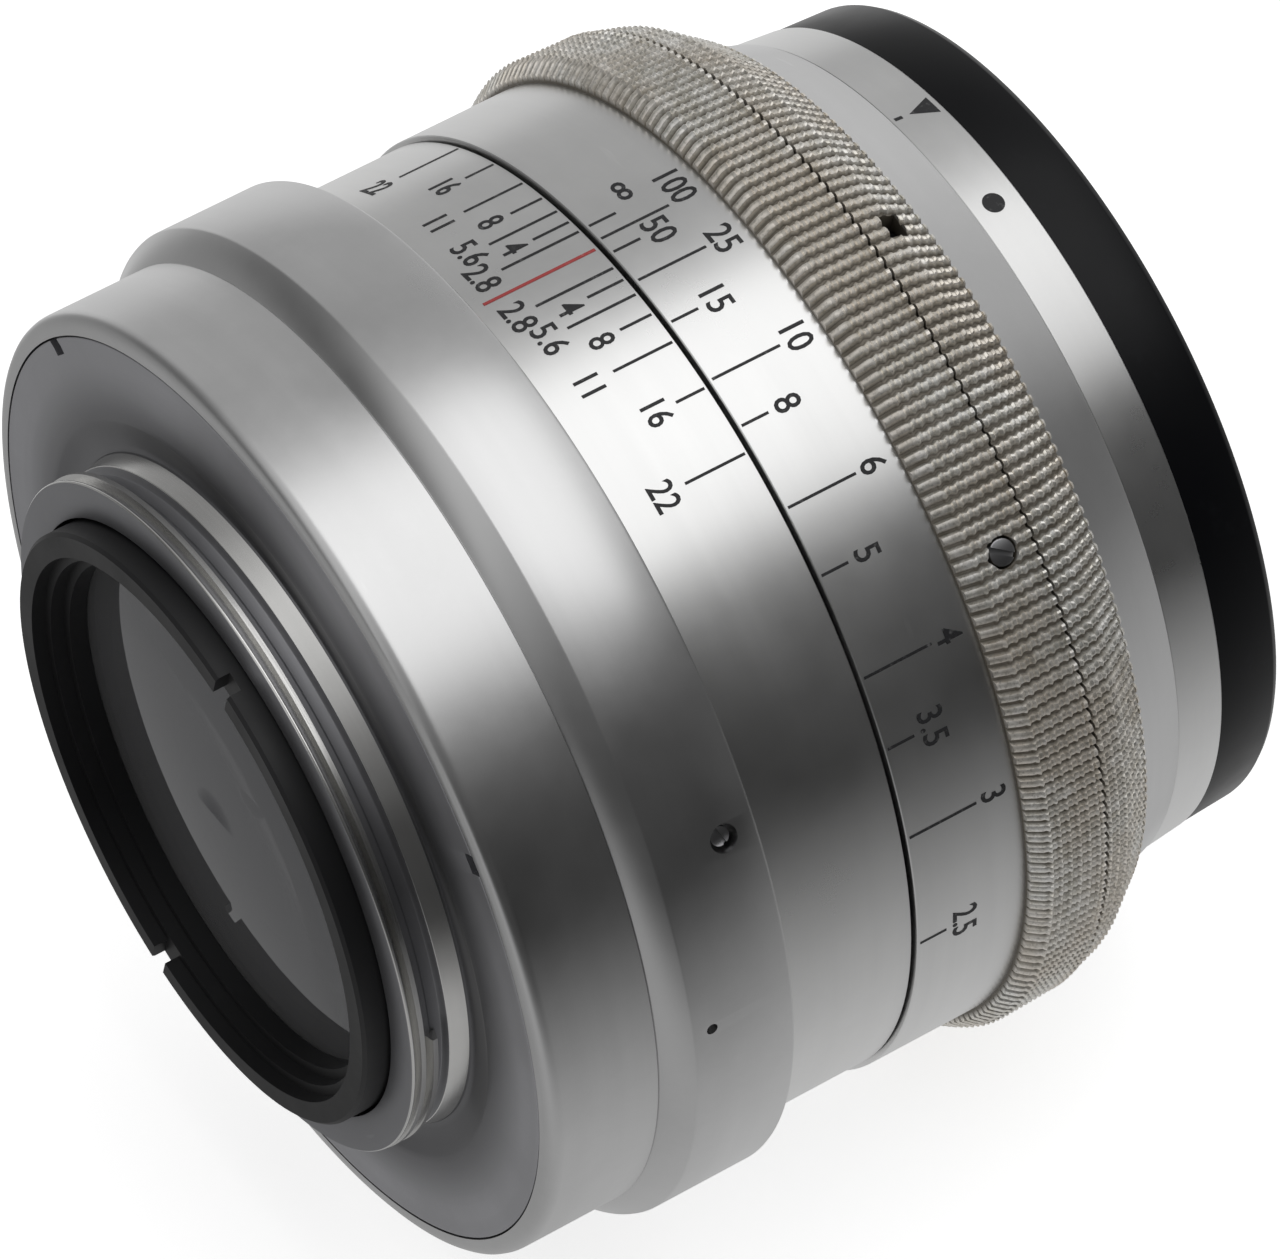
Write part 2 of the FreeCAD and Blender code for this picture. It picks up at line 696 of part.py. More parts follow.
def make_collar():
    """Wide collar with its sloped rear edge, and the three screws that hold it."""
    body = ring("collar_ring", [
        (size.collar_seat_radius + size.seat_gap, size.band_front),
        (size.band_radius, size.band_front),
        (size.collar_radius, collar_slope_front),
        (size.collar_radius, size.collar_front - size.collar_edge),
        (size.collar_radius - size.collar_edge, size.collar_front),
        (size.collar_seat_radius + size.seat_gap, size.collar_front),
    ])
    hole = round_hole(body, "screw_hole", size.collar_screw_station, size.collar_screw_angle,
                      size.collar_screw_radius + size.screw_gap,
                      size.collar_seat_radius - size.loose_gap,
                      size.collar_radius + size.loose_gap)
    repeat(body, "screw_holes", hole, size.screw_count)
    round_hole(body, "spanner_hole", size.collar_hole_station, size.collar_hole_angle,
               size.collar_hole_radius, size.collar_radius - size.collar_hole_depth,
               size.collar_radius + size.loose_gap)
    screws = new_body("collar_screws")
    screw = rod(screws, "screw", size.collar_screw_station, size.collar_screw_angle,
                size.collar_screw_radius, size.collar_seat_radius - size.collar_screw_depth,
                size.collar_radius - size.screw_recess)
    repeat(screws, "screws", screw, size.screw_count)


def make_depth_scale_ring():
    ring("depth_scale_ring", [
        (size.bearing_radius + size.seat_gap, size.collar_front),
        (size.depth_scale_radius, size.collar_front),
        (size.depth_scale_radius, size.depth_scale_front - size.ring_edge),
        (size.depth_scale_radius - size.ring_edge, size.depth_scale_front),
        (size.bearing_radius + size.seat_gap, size.depth_scale_front),
    ])


def make_helicoid_keeper():
    """Threaded ring behind the helicoid nut, which stops the nut from moving back."""
    outer = size.counterbore_radius - size.seat_gap
    ring("helicoid_keeper", rectangle(size.keeper_radius, outer,
                                      keeper_front - size.keeper_length, keeper_front))


def make_guide_key():
    """Key on the flange whose tongue lets the inner barrel slide but not turn."""
    body = new_body("guide_key")
    half = size.key_foot_width / 2
    rise = root(size.key_outer_radius * size.key_outer_radius - half * half)
    foot_sketch = face_sketch(body, "foot_outline", size.flange_thickness)
    draw(foot_sketch, [(-half, -rise, size.key_outer_radius), (half, -rise),
                       (half, -size.key_foot_inner_radius),
                       (-half, -size.key_foot_inner_radius)])
    pad(body, "foot", foot_sketch, size.key_foot_height)
    half = size.key_width / 2
    rise = root(size.key_outer_radius * size.key_outer_radius - half * half)
    tongue_sketch = face_sketch(body, "tongue_outline", size.flange_thickness)
    draw(tongue_sketch, [(-half, -rise, size.key_outer_radius), (half, -rise),
                         (half, -size.key_tongue_radius), (-half, -size.key_tongue_radius)])
    pad(body, "tongue", tongue_sketch, size.key_front - size.flange_thickness)
    hole_sketch = face_sketch(body, "hole_outline", size.flange_thickness)
    key_screw_places(hole_sketch, size.key_screw_radius + size.screw_gap)
    pocket(body, "holes", hole_sketch, size.key_foot_height)
    screws = new_body("guide_key_screws")
    shank_sketch = face_sketch(screws, "shank_outline", key_foot_front)
    key_screw_places(shank_sketch, size.key_screw_radius)
    pad(screws, "shanks", shank_sketch, size.key_screw_length, False)
    head_sketch = face_sketch(screws, "head_outline", key_foot_front)
    key_screw_places(head_sketch, size.key_screw_head_radius)
    pad(screws, "heads", head_sketch, size.key_screw_head)


# Focusing body: distance scale, grip, helicoid nut and stop pin


def make_distance_scale_ring():
    running_radius = size.bearing_radius + size.running_gap
    ring("distance_scale_ring", [
        (running_radius, size.distance_scale_rear),
        (size.distance_scale_radius - size.ring_edge, size.distance_scale_rear),
        (size.distance_scale_radius, size.distance_scale_rear + size.ring_edge),
        (size.distance_scale_radius, size.distance_scale_front),
        (nut_seat_radius, size.distance_scale_front),
        (nut_seat_radius, bearing_relief),
        (running_radius, bearing_relief),
    ])


def make_focus_grip():
    """Knurled grip, beveled at the rear and nearly straight ahead of it, with its screws."""
    body = ring("focus_grip", [
        (nut_seat_radius, size.distance_scale_front),
        (size.grip_rear_radius, size.distance_scale_front),
        (size.grip_crest_radius, grip_crest_station),
        (size.grip_front_radius, size.grip_front),
        (nut_seat_radius, size.grip_front),
    ])
    hole_radius = size.grip_screw_radius + size.screw_gap
    hole = round_hole(body, "screw_hole", size.grip_screw_station, size.grip_screw_angle,
                      hole_radius, nut_radius - size.loose_gap,
                      size.grip_crest_radius + size.loose_gap)
    repeat(body, "screw_holes", hole, size.screw_count)
    screws = new_body("focus_grip_screws")
    screw = rod(screws, "screw", size.grip_screw_station, size.grip_screw_angle,
                size.grip_screw_radius, nut_bore_radius + size.loose_gap, grip_screw_top)
    repeat(screws, "screws", screw, size.screw_count)


def make_helicoid_nut():
    """Inner tube of the focusing ring: a captive collar at the rear and the helicoid bore."""
    body = ring("helicoid_nut", [
        (nut_bore_radius, size.nut_rear),
        (size.nut_collar_radius, size.nut_rear),
        (size.nut_collar_radius, nut_collar_front),
        (nut_radius, nut_collar_front),
        (nut_radius, size.nut_front),
        (nut_bore_radius, size.nut_front),
    ])
    hole = round_hole(body, "grip_screw_hole", size.grip_screw_station, size.grip_screw_angle,
                      size.grip_screw_radius + size.screw_gap,
                      nut_bore_radius - size.loose_gap, nut_radius + size.loose_gap)
    repeat(body, "grip_screw_holes", hole, size.screw_count)
    round_hole(body, "stop_pin_hole", stop_pin_station, stop_pin_angle,
               size.stop_pin_radius + size.screw_gap,
               nut_bore_radius - size.loose_gap, size.nut_collar_radius + size.loose_gap)
    pin = new_body("focus_stop_pin")
    rod(pin, "pin", stop_pin_station, stop_pin_angle, size.stop_pin_radius,
        nut_bore_radius + size.loose_gap, size.nut_collar_radius + size.stop_pin_reach)


# Optics body: the barrels that slide forward, their front trim, the cells and the glass


def make_inner_barrel():
    """Inner helicoid barrel with a shoulder for the iris and a keyway for the guide key."""
    body = ring("inner_barrel", [
        (size.inner_bore_radius, size.inner_rear),
        (inner_radius, size.inner_rear),
        (inner_radius, size.inner_front),
        (size.inner_bore_radius, size.inner_front),
        (size.inner_bore_radius, size.shoulder_front),
        (shoulder_radius, size.shoulder_front),
        (shoulder_radius, shoulder_rear),
        (size.inner_bore_radius, shoulder_rear),
    ])
    sketch = face_sketch(body, "keyway_outline", size.inner_rear)
    half = size.key_width / 2 + size.running_gap
    draw(sketch, rectangle(-half, half, -(inner_radius + size.loose_gap),
                           -(size.inner_bore_radius - size.loose_gap)))
    pocket(body, "keyway", sketch, size.keyway_front - size.inner_rear)


def make_front_barrel():
    """Front barrel: the aperture ring turns on it, and the iris screw passes its slot."""
    cell_seat_radius = size.front_cell_flange_radius + size.seat_gap
    body = ring("front_barrel", [
        (size.inner_bore_radius, size.inner_front),
        (size.front_barrel_radius, size.inner_front),
        (size.front_barrel_radius, size.front_barrel_front),
        (cell_seat_radius, size.front_barrel_front),
        (cell_seat_radius, size.front_cell_flange_rear),
        (size.inner_bore_radius, size.front_cell_flange_rear),
    ])
    arc_slot(body, "drive_slot", size.drive_screw_station,
             size.drive_screw_angle + size.drive_slot_margin,
             size.aperture_turn + size.drive_slot_margin * 2,
             size.drive_screw_radius + size.end_gap,
             size.inner_bore_radius - size.loose_gap, size.front_barrel_radius + size.loose_gap)


def make_front_trim():
    """Index ring, black filter rim and the bezel round the front glass."""
    ring("index_ring", [
        (index_bore_radius, size.index_ring_rear),
        (size.index_ring_rear_radius, size.index_ring_rear),
        (size.index_ring_front_radius, size.rim_rear),
        (index_bore_radius, size.rim_rear),
    ])
    thread_chamfer = size.filter_thread_chamfer
    ring("filter_rim", [
        (size.rim_web_radius, size.front_barrel_front),
        (size.front_barrel_radius, size.front_barrel_front),
        (size.front_barrel_radius, size.rim_rear),
        (size.rim_rear_radius, size.rim_rear),
        (size.rim_front_radius, size.rim_front - size.rim_edge),
        (size.rim_front_radius - size.rim_edge, size.rim_front),
        (size.filter_thread_radius + thread_chamfer, size.rim_front),
        (size.filter_thread_radius, size.rim_front - thread_chamfer),
        (size.filter_thread_radius, bezel_front),
        (size.bezel_seat_radius, bezel_front),
        (size.bezel_seat_radius, bezel_rear),
        (size.rim_web_radius, bezel_rear),
    ])
    bezel_radius = size.bezel_seat_radius - size.seat_gap
    ring("front_bezel", [
        (size.bezel_flat_radius, bezel_rear),
        (bezel_radius, bezel_rear),
        (bezel_radius, bezel_front),
        (size.bezel_flat_radius, bezel_front),
        (size.bezel_bore_radius, bezel_front - size.bezel_depth),
        (size.bezel_bore_radius, bezel_rear - size.bezel_depth),
    ])


def make_glass(label, radius, front, front_curve, rear, rear_curve, front_clear=None,
               rear_clear=None):
    """A round lens; a clear radius leaves a flat land round a hollow face."""
    front_edge = front_clear or radius
    rear_edge = rear_clear or radius
    outline = [(ZERO, front, front_curve), (front_edge, front - fall(front_curve, front_edge))]
    if front_clear:
        outline.append((radius, front - fall(front_curve, front_edge)))
    if rear_clear:
        outline.append((radius, rear + fall(rear_curve, rear_edge)))
    outline.append((rear_edge, rear + fall(rear_curve, rear_edge), rear_curve))
    outline.append((ZERO, rear))
    ring(label, outline)


def make_retainer(label, radius, vertex, curve, way):
    """A threaded ring whose inner end follows the glass; way is 1 in front of it, -1 behind."""
    inner = radius - size.retainer_width
    gap = size.retainer_gap
    inner_station = vertex - (fall(curve, inner) - gap) * way
    outer_station = vertex - (fall(curve, radius) - gap) * way
    end = outer_station + size.retainer_length * way
    ring(label, [(inner, inner_station), (radius, outer_station), (radius, end), (inner, end)])


def make_front_cell():
    """Front cell: a seat for the front lens and one for the cemented pair behind it."""
    lens_bore = size.front_lens_radius + size.seat_gap
    doublet_bore = size.doublet_radius + size.seat_gap
    lip_rear = size.front_doublet_seat - size.doublet_lip
    flange_front = size.front_cell_flange_rear + size.front_cell_flange_length
    ring("front_cell", [
        (size.front_cell_mouth_radius, size.front_cell_rear),
        (size.front_cell_radius, size.front_cell_rear),
        (size.front_cell_radius, size.front_cell_flange_rear),
        (size.front_cell_flange_radius, size.front_cell_flange_rear),
        (size.front_cell_flange_radius, flange_front),
        (size.front_cell_radius, flange_front),
        (size.front_cell_radius, size.front_cell_front),
        (lens_bore, size.front_cell_front),
        (lens_bore, size.front_lens_seat),
        (doublet_bore, size.front_lens_seat),
        (doublet_bore, size.front_doublet_seat),
        (size.doublet_lip_radius, size.front_doublet_seat),
        (size.doublet_lip_radius, lip_rear),
        (size.front_cell_mouth_radius, lip_rear),
    ])
    hollow = -size.front_lens_rear_curve
    lens_rear = size.front_lens_seat + size.glass_gap - fall(hollow, size.front_lens_radius)
    lens_front = lens_rear + size.front_lens_thickness
    make_glass("front_lens", size.front_lens_radius, lens_front, size.front_lens_front_curve,
               lens_rear, hollow)
    make_retainer("front_lens_retainer", size.front_lens_radius, lens_front,
                  size.front_lens_front_curve, 1)
    hollow = -size.front_doublet_rear_curve
    flint_rear = (size.front_doublet_seat + size.glass_gap
                  - fall(hollow, size.doublet_clear_radius))
    flint_front = flint_rear + size.front_flint_thickness
    crown_front = flint_front + size.front_doublet_thickness
    make_glass("front_doublet_rear_glass", size.doublet_radius, flint_front,
               size.front_doublet_inner_curve, flint_rear, hollow,
               rear_clear=size.doublet_clear_radius)
    make_glass("front_doublet_front_glass", size.doublet_radius, crown_front,
               size.front_doublet_front_curve, flint_front, -size.front_doublet_inner_curve)
    make_retainer("front_doublet_retainer", size.doublet_radius, crown_front,
                  size.front_doublet_front_curve, 1)


def make_rear_cell():
    """Rear cell: seats for the rear lens and the cemented pair, held in the inner barrel."""
    lens_bore = size.rear_lens_radius + size.seat_gap
    doublet_bore = size.doublet_radius + size.seat_gap
    ring_bore = size.rear_ring_thread_radius + size.seat_gap
    lip_front = size.rear_doublet_seat + size.doublet_lip
    nose_radius = shoulder_radius - size.end_gap
    ring("rear_cell", [
        (ring_bore, size.rear_cell_rear),
        (size.rear_cell_radius, size.rear_cell_rear),
        (size.rear_cell_radius, size.rear_cell_flange_rear),
        (bore_seat_radius, size.rear_cell_flange_rear),
        (bore_seat_radius, shoulder_rear),
        (nose_radius, shoulder_rear),
        (nose_radius, lip_front),
        (size.doublet_lip_radius, lip_front),
        (size.doublet_lip_radius, size.rear_doublet_seat),
        (doublet_bore, size.rear_doublet_seat),
        (doublet_bore, size.rear_lens_seat),
        (lens_bore, size.rear_lens_seat),
        (lens_bore, size.rear_ring_front),
        (ring_bore, size.rear_ring_front),
    ])
    lens_front = (size.rear_lens_seat - size.glass_gap
                  + fall(size.rear_lens_front_curve, doublet_bore))
    lens_rear = (size.rear_ring_front + size.glass_gap
                 - fall(size.rear_lens_rear_curve, size.rear_ring_bore_radius))
    make_glass("rear_lens", size.rear_lens_radius, lens_front, size.rear_lens_front_curve,
               lens_rear, size.rear_lens_rear_curve)
    hollow = -size.rear_doublet_front_curve
    flint_front = (size.rear_doublet_seat - size.glass_gap
                   + fall(hollow, size.doublet_clear_radius))
    flint_rear = flint_front - size.rear_flint_thickness
    crown_rear = flint_rear - size.rear_doublet_thickness
    make_glass("rear_doublet_front_glass", size.doublet_radius, flint_front, hollow,
               flint_rear, size.rear_doublet_inner_curve,
               front_clear=size.doublet_clear_radius)
    make_glass("rear_doublet_rear_glass", size.doublet_radius, flint_rear,
               -size.rear_doublet_inner_curve, crown_rear, size.rear_doublet_rear_curve)
    make_retainer("rear_doublet_retainer", size.doublet_radius, crown_rear,
                  size.rear_doublet_rear_curve, -1)


def make_rear_retaining_ring():
    """Black ring round the rear glass: stepped inside, with two spanner slots."""
    bore = size.rear_ring_bore_radius
    step = size.rear_ring_step
    first_step = size.rear_ring_rear + size.rear_ring_step_length
    second_step = first_step + size.rear_ring_step_length
    body = ring("rear_retaining_ring", [
        (bore, size.rear_ring_front),
        (size.rear_ring_thread_radius, size.rear_ring_front),
        (size.rear_ring_thread_radius, size.rear_cell_rear),
        (size.rear_cell_radius, size.rear_cell_rear),
        (size.rear_cell_radius, size.rear_ring_rear + size.rear_ring_edge),
        (size.rear_cell_radius - size.rear_ring_edge, size.rear_ring_rear),
        (bore + step * 2, size.rear_ring_rear),
        (bore + step * 2, first_step),
        (bore + step, first_step),
        (bore + step, second_step),
        (bore, second_step),
    ])
    sketch = face_sketch(body, "slot_outline", size.rear_ring_rear, size.rear_ring_slot_angle)
    half = size.rear_ring_slot_width / 2
    draw(sketch, rectangle(bore, size.rear_cell_radius + size.loose_gap, -half, half))
    slot = pocket(body, "slot", sketch, size.rear_ring_slot_depth)
    repeat(body, "slots", slot, as_size(2))


def make_iris_housing():
    """Fixed iris plate with a hole for each blade's pivot pin."""
    body = ring("iris_housing", rectangle(size.iris_opening_radius, bore_seat_radius,
                                          size.shoulder_front, size.housing_front))
    sketch = face_sketch(body, "pivot_hole_outline", size.shoulder_front)
    draw_circle(sketch, size.pivot_circle_radius, ZERO,
                size.pivot_pin_radius + size.running_gap)
    hole = pocket(body, "pivot_hole", sketch, size.iris_housing_thickness)
    repeat(body, "pivot_holes", hole, size.blade_count)


# Aperture body: the ring, its drive screw and the sleeve whose cam slots move the blades


def make_aperture_ring():
    body = ring("aperture_ring", [
        (aperture_bore_radius, size.aperture_ring_rear),
        (size.aperture_grip_rear_radius, size.aperture_ring_rear),
        (size.aperture_grip_shoulder_radius, size.aperture_grip_shoulder),
        (size.aperture_grip_front_radius, size.aperture_grip_front),
        (size.aperture_band_rear_radius, size.aperture_grip_front),
        (size.aperture_band_front_radius, size.aperture_ring_front),
        (aperture_bore_radius, size.aperture_ring_front),
    ])
    hole_radius = size.drive_screw_radius + size.screw_gap
    round_hole(body, "drive_screw_hole", size.drive_screw_station, size.drive_screw_angle,
               hole_radius, size.front_barrel_radius - size.loose_gap,
               size.aperture_grip_rear_radius + size.loose_gap)
    screw = new_body("aperture_drive_screw")
    rod(screw, "screw", size.drive_screw_station, size.drive_screw_angle,
        size.drive_screw_radius, size.sleeve_bore_radius + size.running_gap, drive_screw_top)


def arm_tip(angle):
    """Place of a blade's drive pin, for an arm at an angle from the way to the axis."""
    return (size.pivot_circle_radius - size.drive_arm * cosine(angle),
            size.drive_arm * sine(angle))


def cam_slot_outline():
    """A slot along the drive pin's path, as the turning sleeve sees it from open to closed."""
    start_x, start_y = arm_tip(size.drive_arm_angle)
    closed_x, closed_y = arm_tip(size.drive_arm_angle - size.blade_swing)
    turn_x, turn_y = cosine(size.aperture_turn), sine(size.aperture_turn)
    end_x = closed_x * turn_x - closed_y * turn_y
    end_y = closed_x * turn_y + closed_y * turn_x
    chord_x, chord_y = end_x - start_x, end_y - start_y
    chord = root(chord_x * chord_x + chord_y * chord_y)
    curve = size.cam_slot_radius
    height = root(curve * curve - chord * chord / 4)
    centre_x = (start_x + end_x) / 2 - height * chord_y / chord
    centre_y = (start_y + end_y) / 2 + height * chord_x / chord
    half = size.drive_pin_radius + size.cam_slot_clearance

    def corner(x, y, side, ahead):
        out_x, out_y = (x - centre_x) / curve, (y - centre_y) / curve
        across, along = half * side, size.cam_slot_end * ahead
        return x + out_x * across - out_y * along, y + out_y * across + out_x * along

    tip = half * size.cam_slot_tip
    return [corner(start_x, start_y, 1, -1) + (curve + half,),
            corner(end_x, end_y, 1, 1) + (tip,),
            corner(end_x, end_y, -1, 1) + (half - curve,),
            corner(start_x, start_y, -1, -1) + (tip,)]


def make_iris_drive_sleeve():
    """Sleeve that turns with the aperture ring, with a slotted cam disc at its rear."""
    body = ring("iris_drive_sleeve", [
        (size.iris_opening_radius, size.cam_disc_rear),
        (size.sleeve_radius, size.cam_disc_rear),
        (size.sleeve_radius, size.sleeve_front),
        (size.sleeve_bore_radius, size.sleeve_front),
        (size.sleeve_bore_radius, size.cam_disc_front),
        (size.iris_opening_radius, size.cam_disc_front),
    ])
    round_hole(body, "drive_screw_hole", size.drive_screw_station, size.drive_screw_angle,
               size.drive_screw_radius + size.screw_gap,
               size.sleeve_bore_radius - size.loose_gap, size.sleeve_radius + size.loose_gap)
    sketch = face_sketch(body, "cam_slot_outline", size.cam_disc_rear)
    draw(sketch, cam_slot_outline())
    slot = pocket(body, "cam_slot", sketch, size.cam_disc_thickness)
    repeat(body, "cam_slots", slot, size.blade_count)


# Iris blades, each in its own layer on its own pivot


def polar(radius, angle):
    return radius * cosine(angle), radius * sine(angle)


def sector(inner, outer, first, last):
    """Part of a flat ring between two angles."""
    return [polar(inner, first), polar(outer, first) + (outer,), polar(outer, last),
            polar(inner, last) + (-inner,)]


def make_blade(index):
    """A blade: a crescent with a head that carries the pivot pin and the drive pin."""
    body = new_body("iris_blade_%d" % (index + 1))
    rear = size.housing_front + size.blade_first_gap + size.blade_pitch * index
    front = rear + size.blade_thickness
    leaf_sketch = face_sketch(body, "leaf_outline", rear)
    draw(leaf_sketch, sector(size.blade_inner_radius, size.blade_outer_radius,
                             size.blade_head_start_angle, size.blade_tail_angle))
    pad(body, "leaf", leaf_sketch, size.blade_thickness)
    head_sketch = face_sketch(body, "head_outline", rear)
    draw(head_sketch, sector(size.blade_head_inner_radius, size.blade_head_outer_radius,
                             size.blade_head_start_angle, size.blade_head_end_angle))
    pad(body, "head", head_sketch, size.blade_thickness)
    pivot_sketch = face_sketch(body, "pivot_pin_outline", rear)
    draw_circle(pivot_sketch, size.pivot_circle_radius, ZERO, size.pivot_pin_radius)
    pad(body, "pivot_pin", pivot_sketch, rear - size.shoulder_front - size.end_gap, False)
    drive_sketch = face_sketch(body, "drive_pin_outline", front)
    pin_x, pin_y = arm_tip(size.drive_arm_angle)
    draw_circle(drive_sketch, pin_x, pin_y, size.drive_pin_radius)
    pad(body, "drive_pin", drive_sketch, size.cam_disc_front - size.end_gap - front)
    turn = FULL_TURN / size.blade_count.number * index
    body.Placement = FreeCAD.Placement(
        FreeCAD.Vector(0, 0, 0), FreeCAD.Rotation(FreeCAD.Vector(0, 1, 0), turn))


make_mount_flange()
make_rear_barrel()
make_collar()
make_depth_scale_ring()
make_helicoid_keeper()
make_guide_key()
make_distance_scale_ring()
make_focus_grip()
make_helicoid_nut()
make_inner_barrel()
make_front_barrel()
make_front_trim()
make_front_cell()
make_rear_cell()
make_rear_retaining_ring()
make_iris_housing()
make_aperture_ring()
make_iris_drive_sleeve()
for blade in range(int(size.blade_count.number)):
    make_blade(blade)
doc.recompute()

failed = [item.Label for item in doc.Objects if {"Invalid", "Error"} & set(item.State)]
if failed:
    raise RuntimeError("these objects failed: " + ", ".join(failed))
bodies = [item for item in doc.Objects if item.TypeId == "PartDesign::Body"]
for body in bodies:
    if body.Shape.isNull() or not body.Shape.isValid() or not body.Shape.Solids:
        raise RuntimeError(body.Label + " has no valid solid")
os.makedirs("parts", exist_ok=True)
for body in bodies:
    body.Shape.exportStep("parts/%s.step" % body.Label)
    box = body.Shape.BoundBox
    print("%-28s %2d solid(s) %10.2f mm3  y %7.2f %7.2f  reach %6.2f" % (
        body.Label, len(body.Shape.Solids), body.Shape.Volume, box.YMin, box.YMax, box.XMax))
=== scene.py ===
# %% [markdown]
# # A prime lens with a screw mount
# The lens lies on its side on a white table with its mount towards the camera. Its shape comes
# from a CAD model that is loaded as a fixed frame, in metres. The optical axis is the Y axis, the
# mount is at +Y and the red index faces +Z. A station is a distance forward of the mount's seat.

# %% Load the frame
import math

import bmesh
import bpy
from mathutils import Matrix, Vector, noise


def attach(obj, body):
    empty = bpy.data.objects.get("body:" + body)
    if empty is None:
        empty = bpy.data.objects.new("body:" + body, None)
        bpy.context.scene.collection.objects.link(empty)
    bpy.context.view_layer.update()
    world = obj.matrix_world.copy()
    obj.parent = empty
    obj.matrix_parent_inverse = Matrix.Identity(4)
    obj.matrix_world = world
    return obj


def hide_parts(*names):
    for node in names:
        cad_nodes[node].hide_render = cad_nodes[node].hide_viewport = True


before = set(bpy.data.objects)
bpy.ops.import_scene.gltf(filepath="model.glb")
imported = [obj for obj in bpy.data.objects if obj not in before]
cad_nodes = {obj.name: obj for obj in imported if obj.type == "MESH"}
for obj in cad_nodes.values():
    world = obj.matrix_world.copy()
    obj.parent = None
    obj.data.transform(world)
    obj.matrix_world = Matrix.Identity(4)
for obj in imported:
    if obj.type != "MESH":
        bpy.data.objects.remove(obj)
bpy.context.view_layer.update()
MM = 0.001
print("CAD nodes:", len(cad_nodes))

# %% [markdown]
# ## Camera
# A long lens far away keeps the circles of the rings nearly alike in size. The place and the three
# axes of the camera were solved from the circles of the photographed rings, so every ring lands on
# its own outline. A camera could also be aimed with a Track To constraint, but that loses the roll.

# %% Camera at the photograph's place
CAMERA_PLACE = Vector((-0.32255, 0.16431, 0.40310))
CAMERA_RIGHT = Vector((-0.54723, -0.83577, -0.04499))
CAMERA_UP = Vector((0.59889, -0.42855, 0.67652))
CAMERA_BACK = Vector((-0.58470, 0.34327, 0.73505))


def new_object(name, data):
    """An object for a mesh, curve, lamp or camera, linked to the scene."""
    thing = bpy.data.objects.new(name, data)
    bpy.context.scene.collection.objects.link(thing)
    return thing


def aim(thing, place, right, up, back):
    """Put a camera or lamp at a place, with its own three axes given."""
    turn = Matrix((right, up, back)).transposed().to_4x4()
    thing.matrix_world = Matrix.Translation(place) @ turn


camera_data = bpy.data.cameras.new("photo_camera")
camera_data.sensor_width = 36.0
camera_data.lens = 269.88
camera = new_object("photo_camera", camera_data)
aim(camera, CAMERA_PLACE, CAMERA_RIGHT, CAMERA_UP, CAMERA_BACK)
bpy.context.scene.camera = camera
bpy.context.scene.view_settings.view_transform = "Standard"
print("camera is", round(CAMERA_PLACE.length, 3), "m from the mount")

# %% [markdown]
# ## Nodes for materials
# Every finish below is a small tree of shader nodes. A tree could be clicked together by hand. In
# code, one helper that adds a node and fills its sockets keeps each finish short and readable.
# The Mix node has a set of sockets for each kind of data, so those for colours go by number.


# %% A helper that adds one shader node
MIX_SHARE, MIX_FIRST, MIX_SECOND, MIX_RESULT = 0, 6, 7, 2


def fill(tree, node, sockets):
    """Give each named socket of a node its value, or link another node's output to it."""
    for name, value in sockets.items():
        if isinstance(value, bpy.types.NodeSocket):
            tree.links.new(value, node.inputs[name])
        else:
            node.inputs[name].default_value = value


def add_node(tree, kind, sockets=None, **settings):
    """Add a node: settings are its own options."""
    node = tree.nodes.new("ShaderNode" + kind)
    for name, value in settings.items():
        setattr(node, name, value)
    fill(tree, node, sockets or {})
    return node


def calculate(tree, operation, first, second=0.0, clamp=False):
    """One step of arithmetic on one or two numbers or sockets."""
    node = add_node(tree, "Math", {0: first, 1: second}, operation=operation, use_clamp=clamp)
    return node.outputs[0]


def remap(tree, value, low, high, new_low=0.0, new_high=1.0, smooth=False):
    """Stretch a value from one range to another, and keep it inside."""
    node = add_node(tree, "MapRange", {"Value": value, "From Min": low, "From Max": high,
                                       "To Min": new_low, "To Max": new_high},
                    interpolation_type="SMOOTHSTEP" if smooth else "LINEAR")
    return node.outputs["Result"]


def blend_colours(tree, share, first, second):
    """Mix two colours: a share of 0 gives the first, and a share of 1 the second."""
    node = add_node(tree, "Mix", {MIX_SHARE: share, MIX_FIRST: first, MIX_SECOND: second},
                    data_type="RGBA")
    return node.outputs[MIX_RESULT]


def shade(value):
    """A grey as a colour."""
    return (value, value, value, 1.0)


print("node helpers ready")

# %% [markdown]
# ## Studio
# The photograph has a plain white ground and soft light from above. The world and the table are
# white where the camera looks at them, and a duller grey where they only light the object. A
# brighter lamp would whiten the ground too, but it would bleach the pale metal with it.

# %% World that is white to the eye
studio = bpy.context.scene
studio.world = bpy.data.worlds.new("white_studio")
studio.world.use_nodes = True
sky = studio.world.node_tree
sky.nodes.clear()


def seen_share(tree):
    """1 for rays from the camera, from a glossy surface or through glass, and else 0."""
    path = add_node(tree, "LightPath")
    both = calculate(tree, "ADD", path.outputs["Is Camera Ray"], path.outputs["Is Glossy Ray"])
    return calculate(tree, "ADD", both, path.outputs["Is Transmission Ray"], clamp=True)


LIGHTING_SKY = 0.66
dull = add_node(sky, "Background", {"Color": shade(1.0), "Strength": LIGHTING_SKY})
white = add_node(sky, "Background", {"Color": shade(1.0), "Strength": 1.0})
either = add_node(sky, "MixShader", {0: seen_share(sky), 1: dull.outputs[0], 2: white.outputs[0]})
add_node(sky, "OutputWorld", {"Surface": either.outputs[0]})
print("world: 1 to the eye,", LIGHTING_SKY, "as light")

# %% White table
FLOOR_HEIGHT = -31.0 * MM
TABLE_REACH = 3.0
TABLE_GREYS = shade(0.80), shade(0.84)
TABLE_GLOW = 0.60


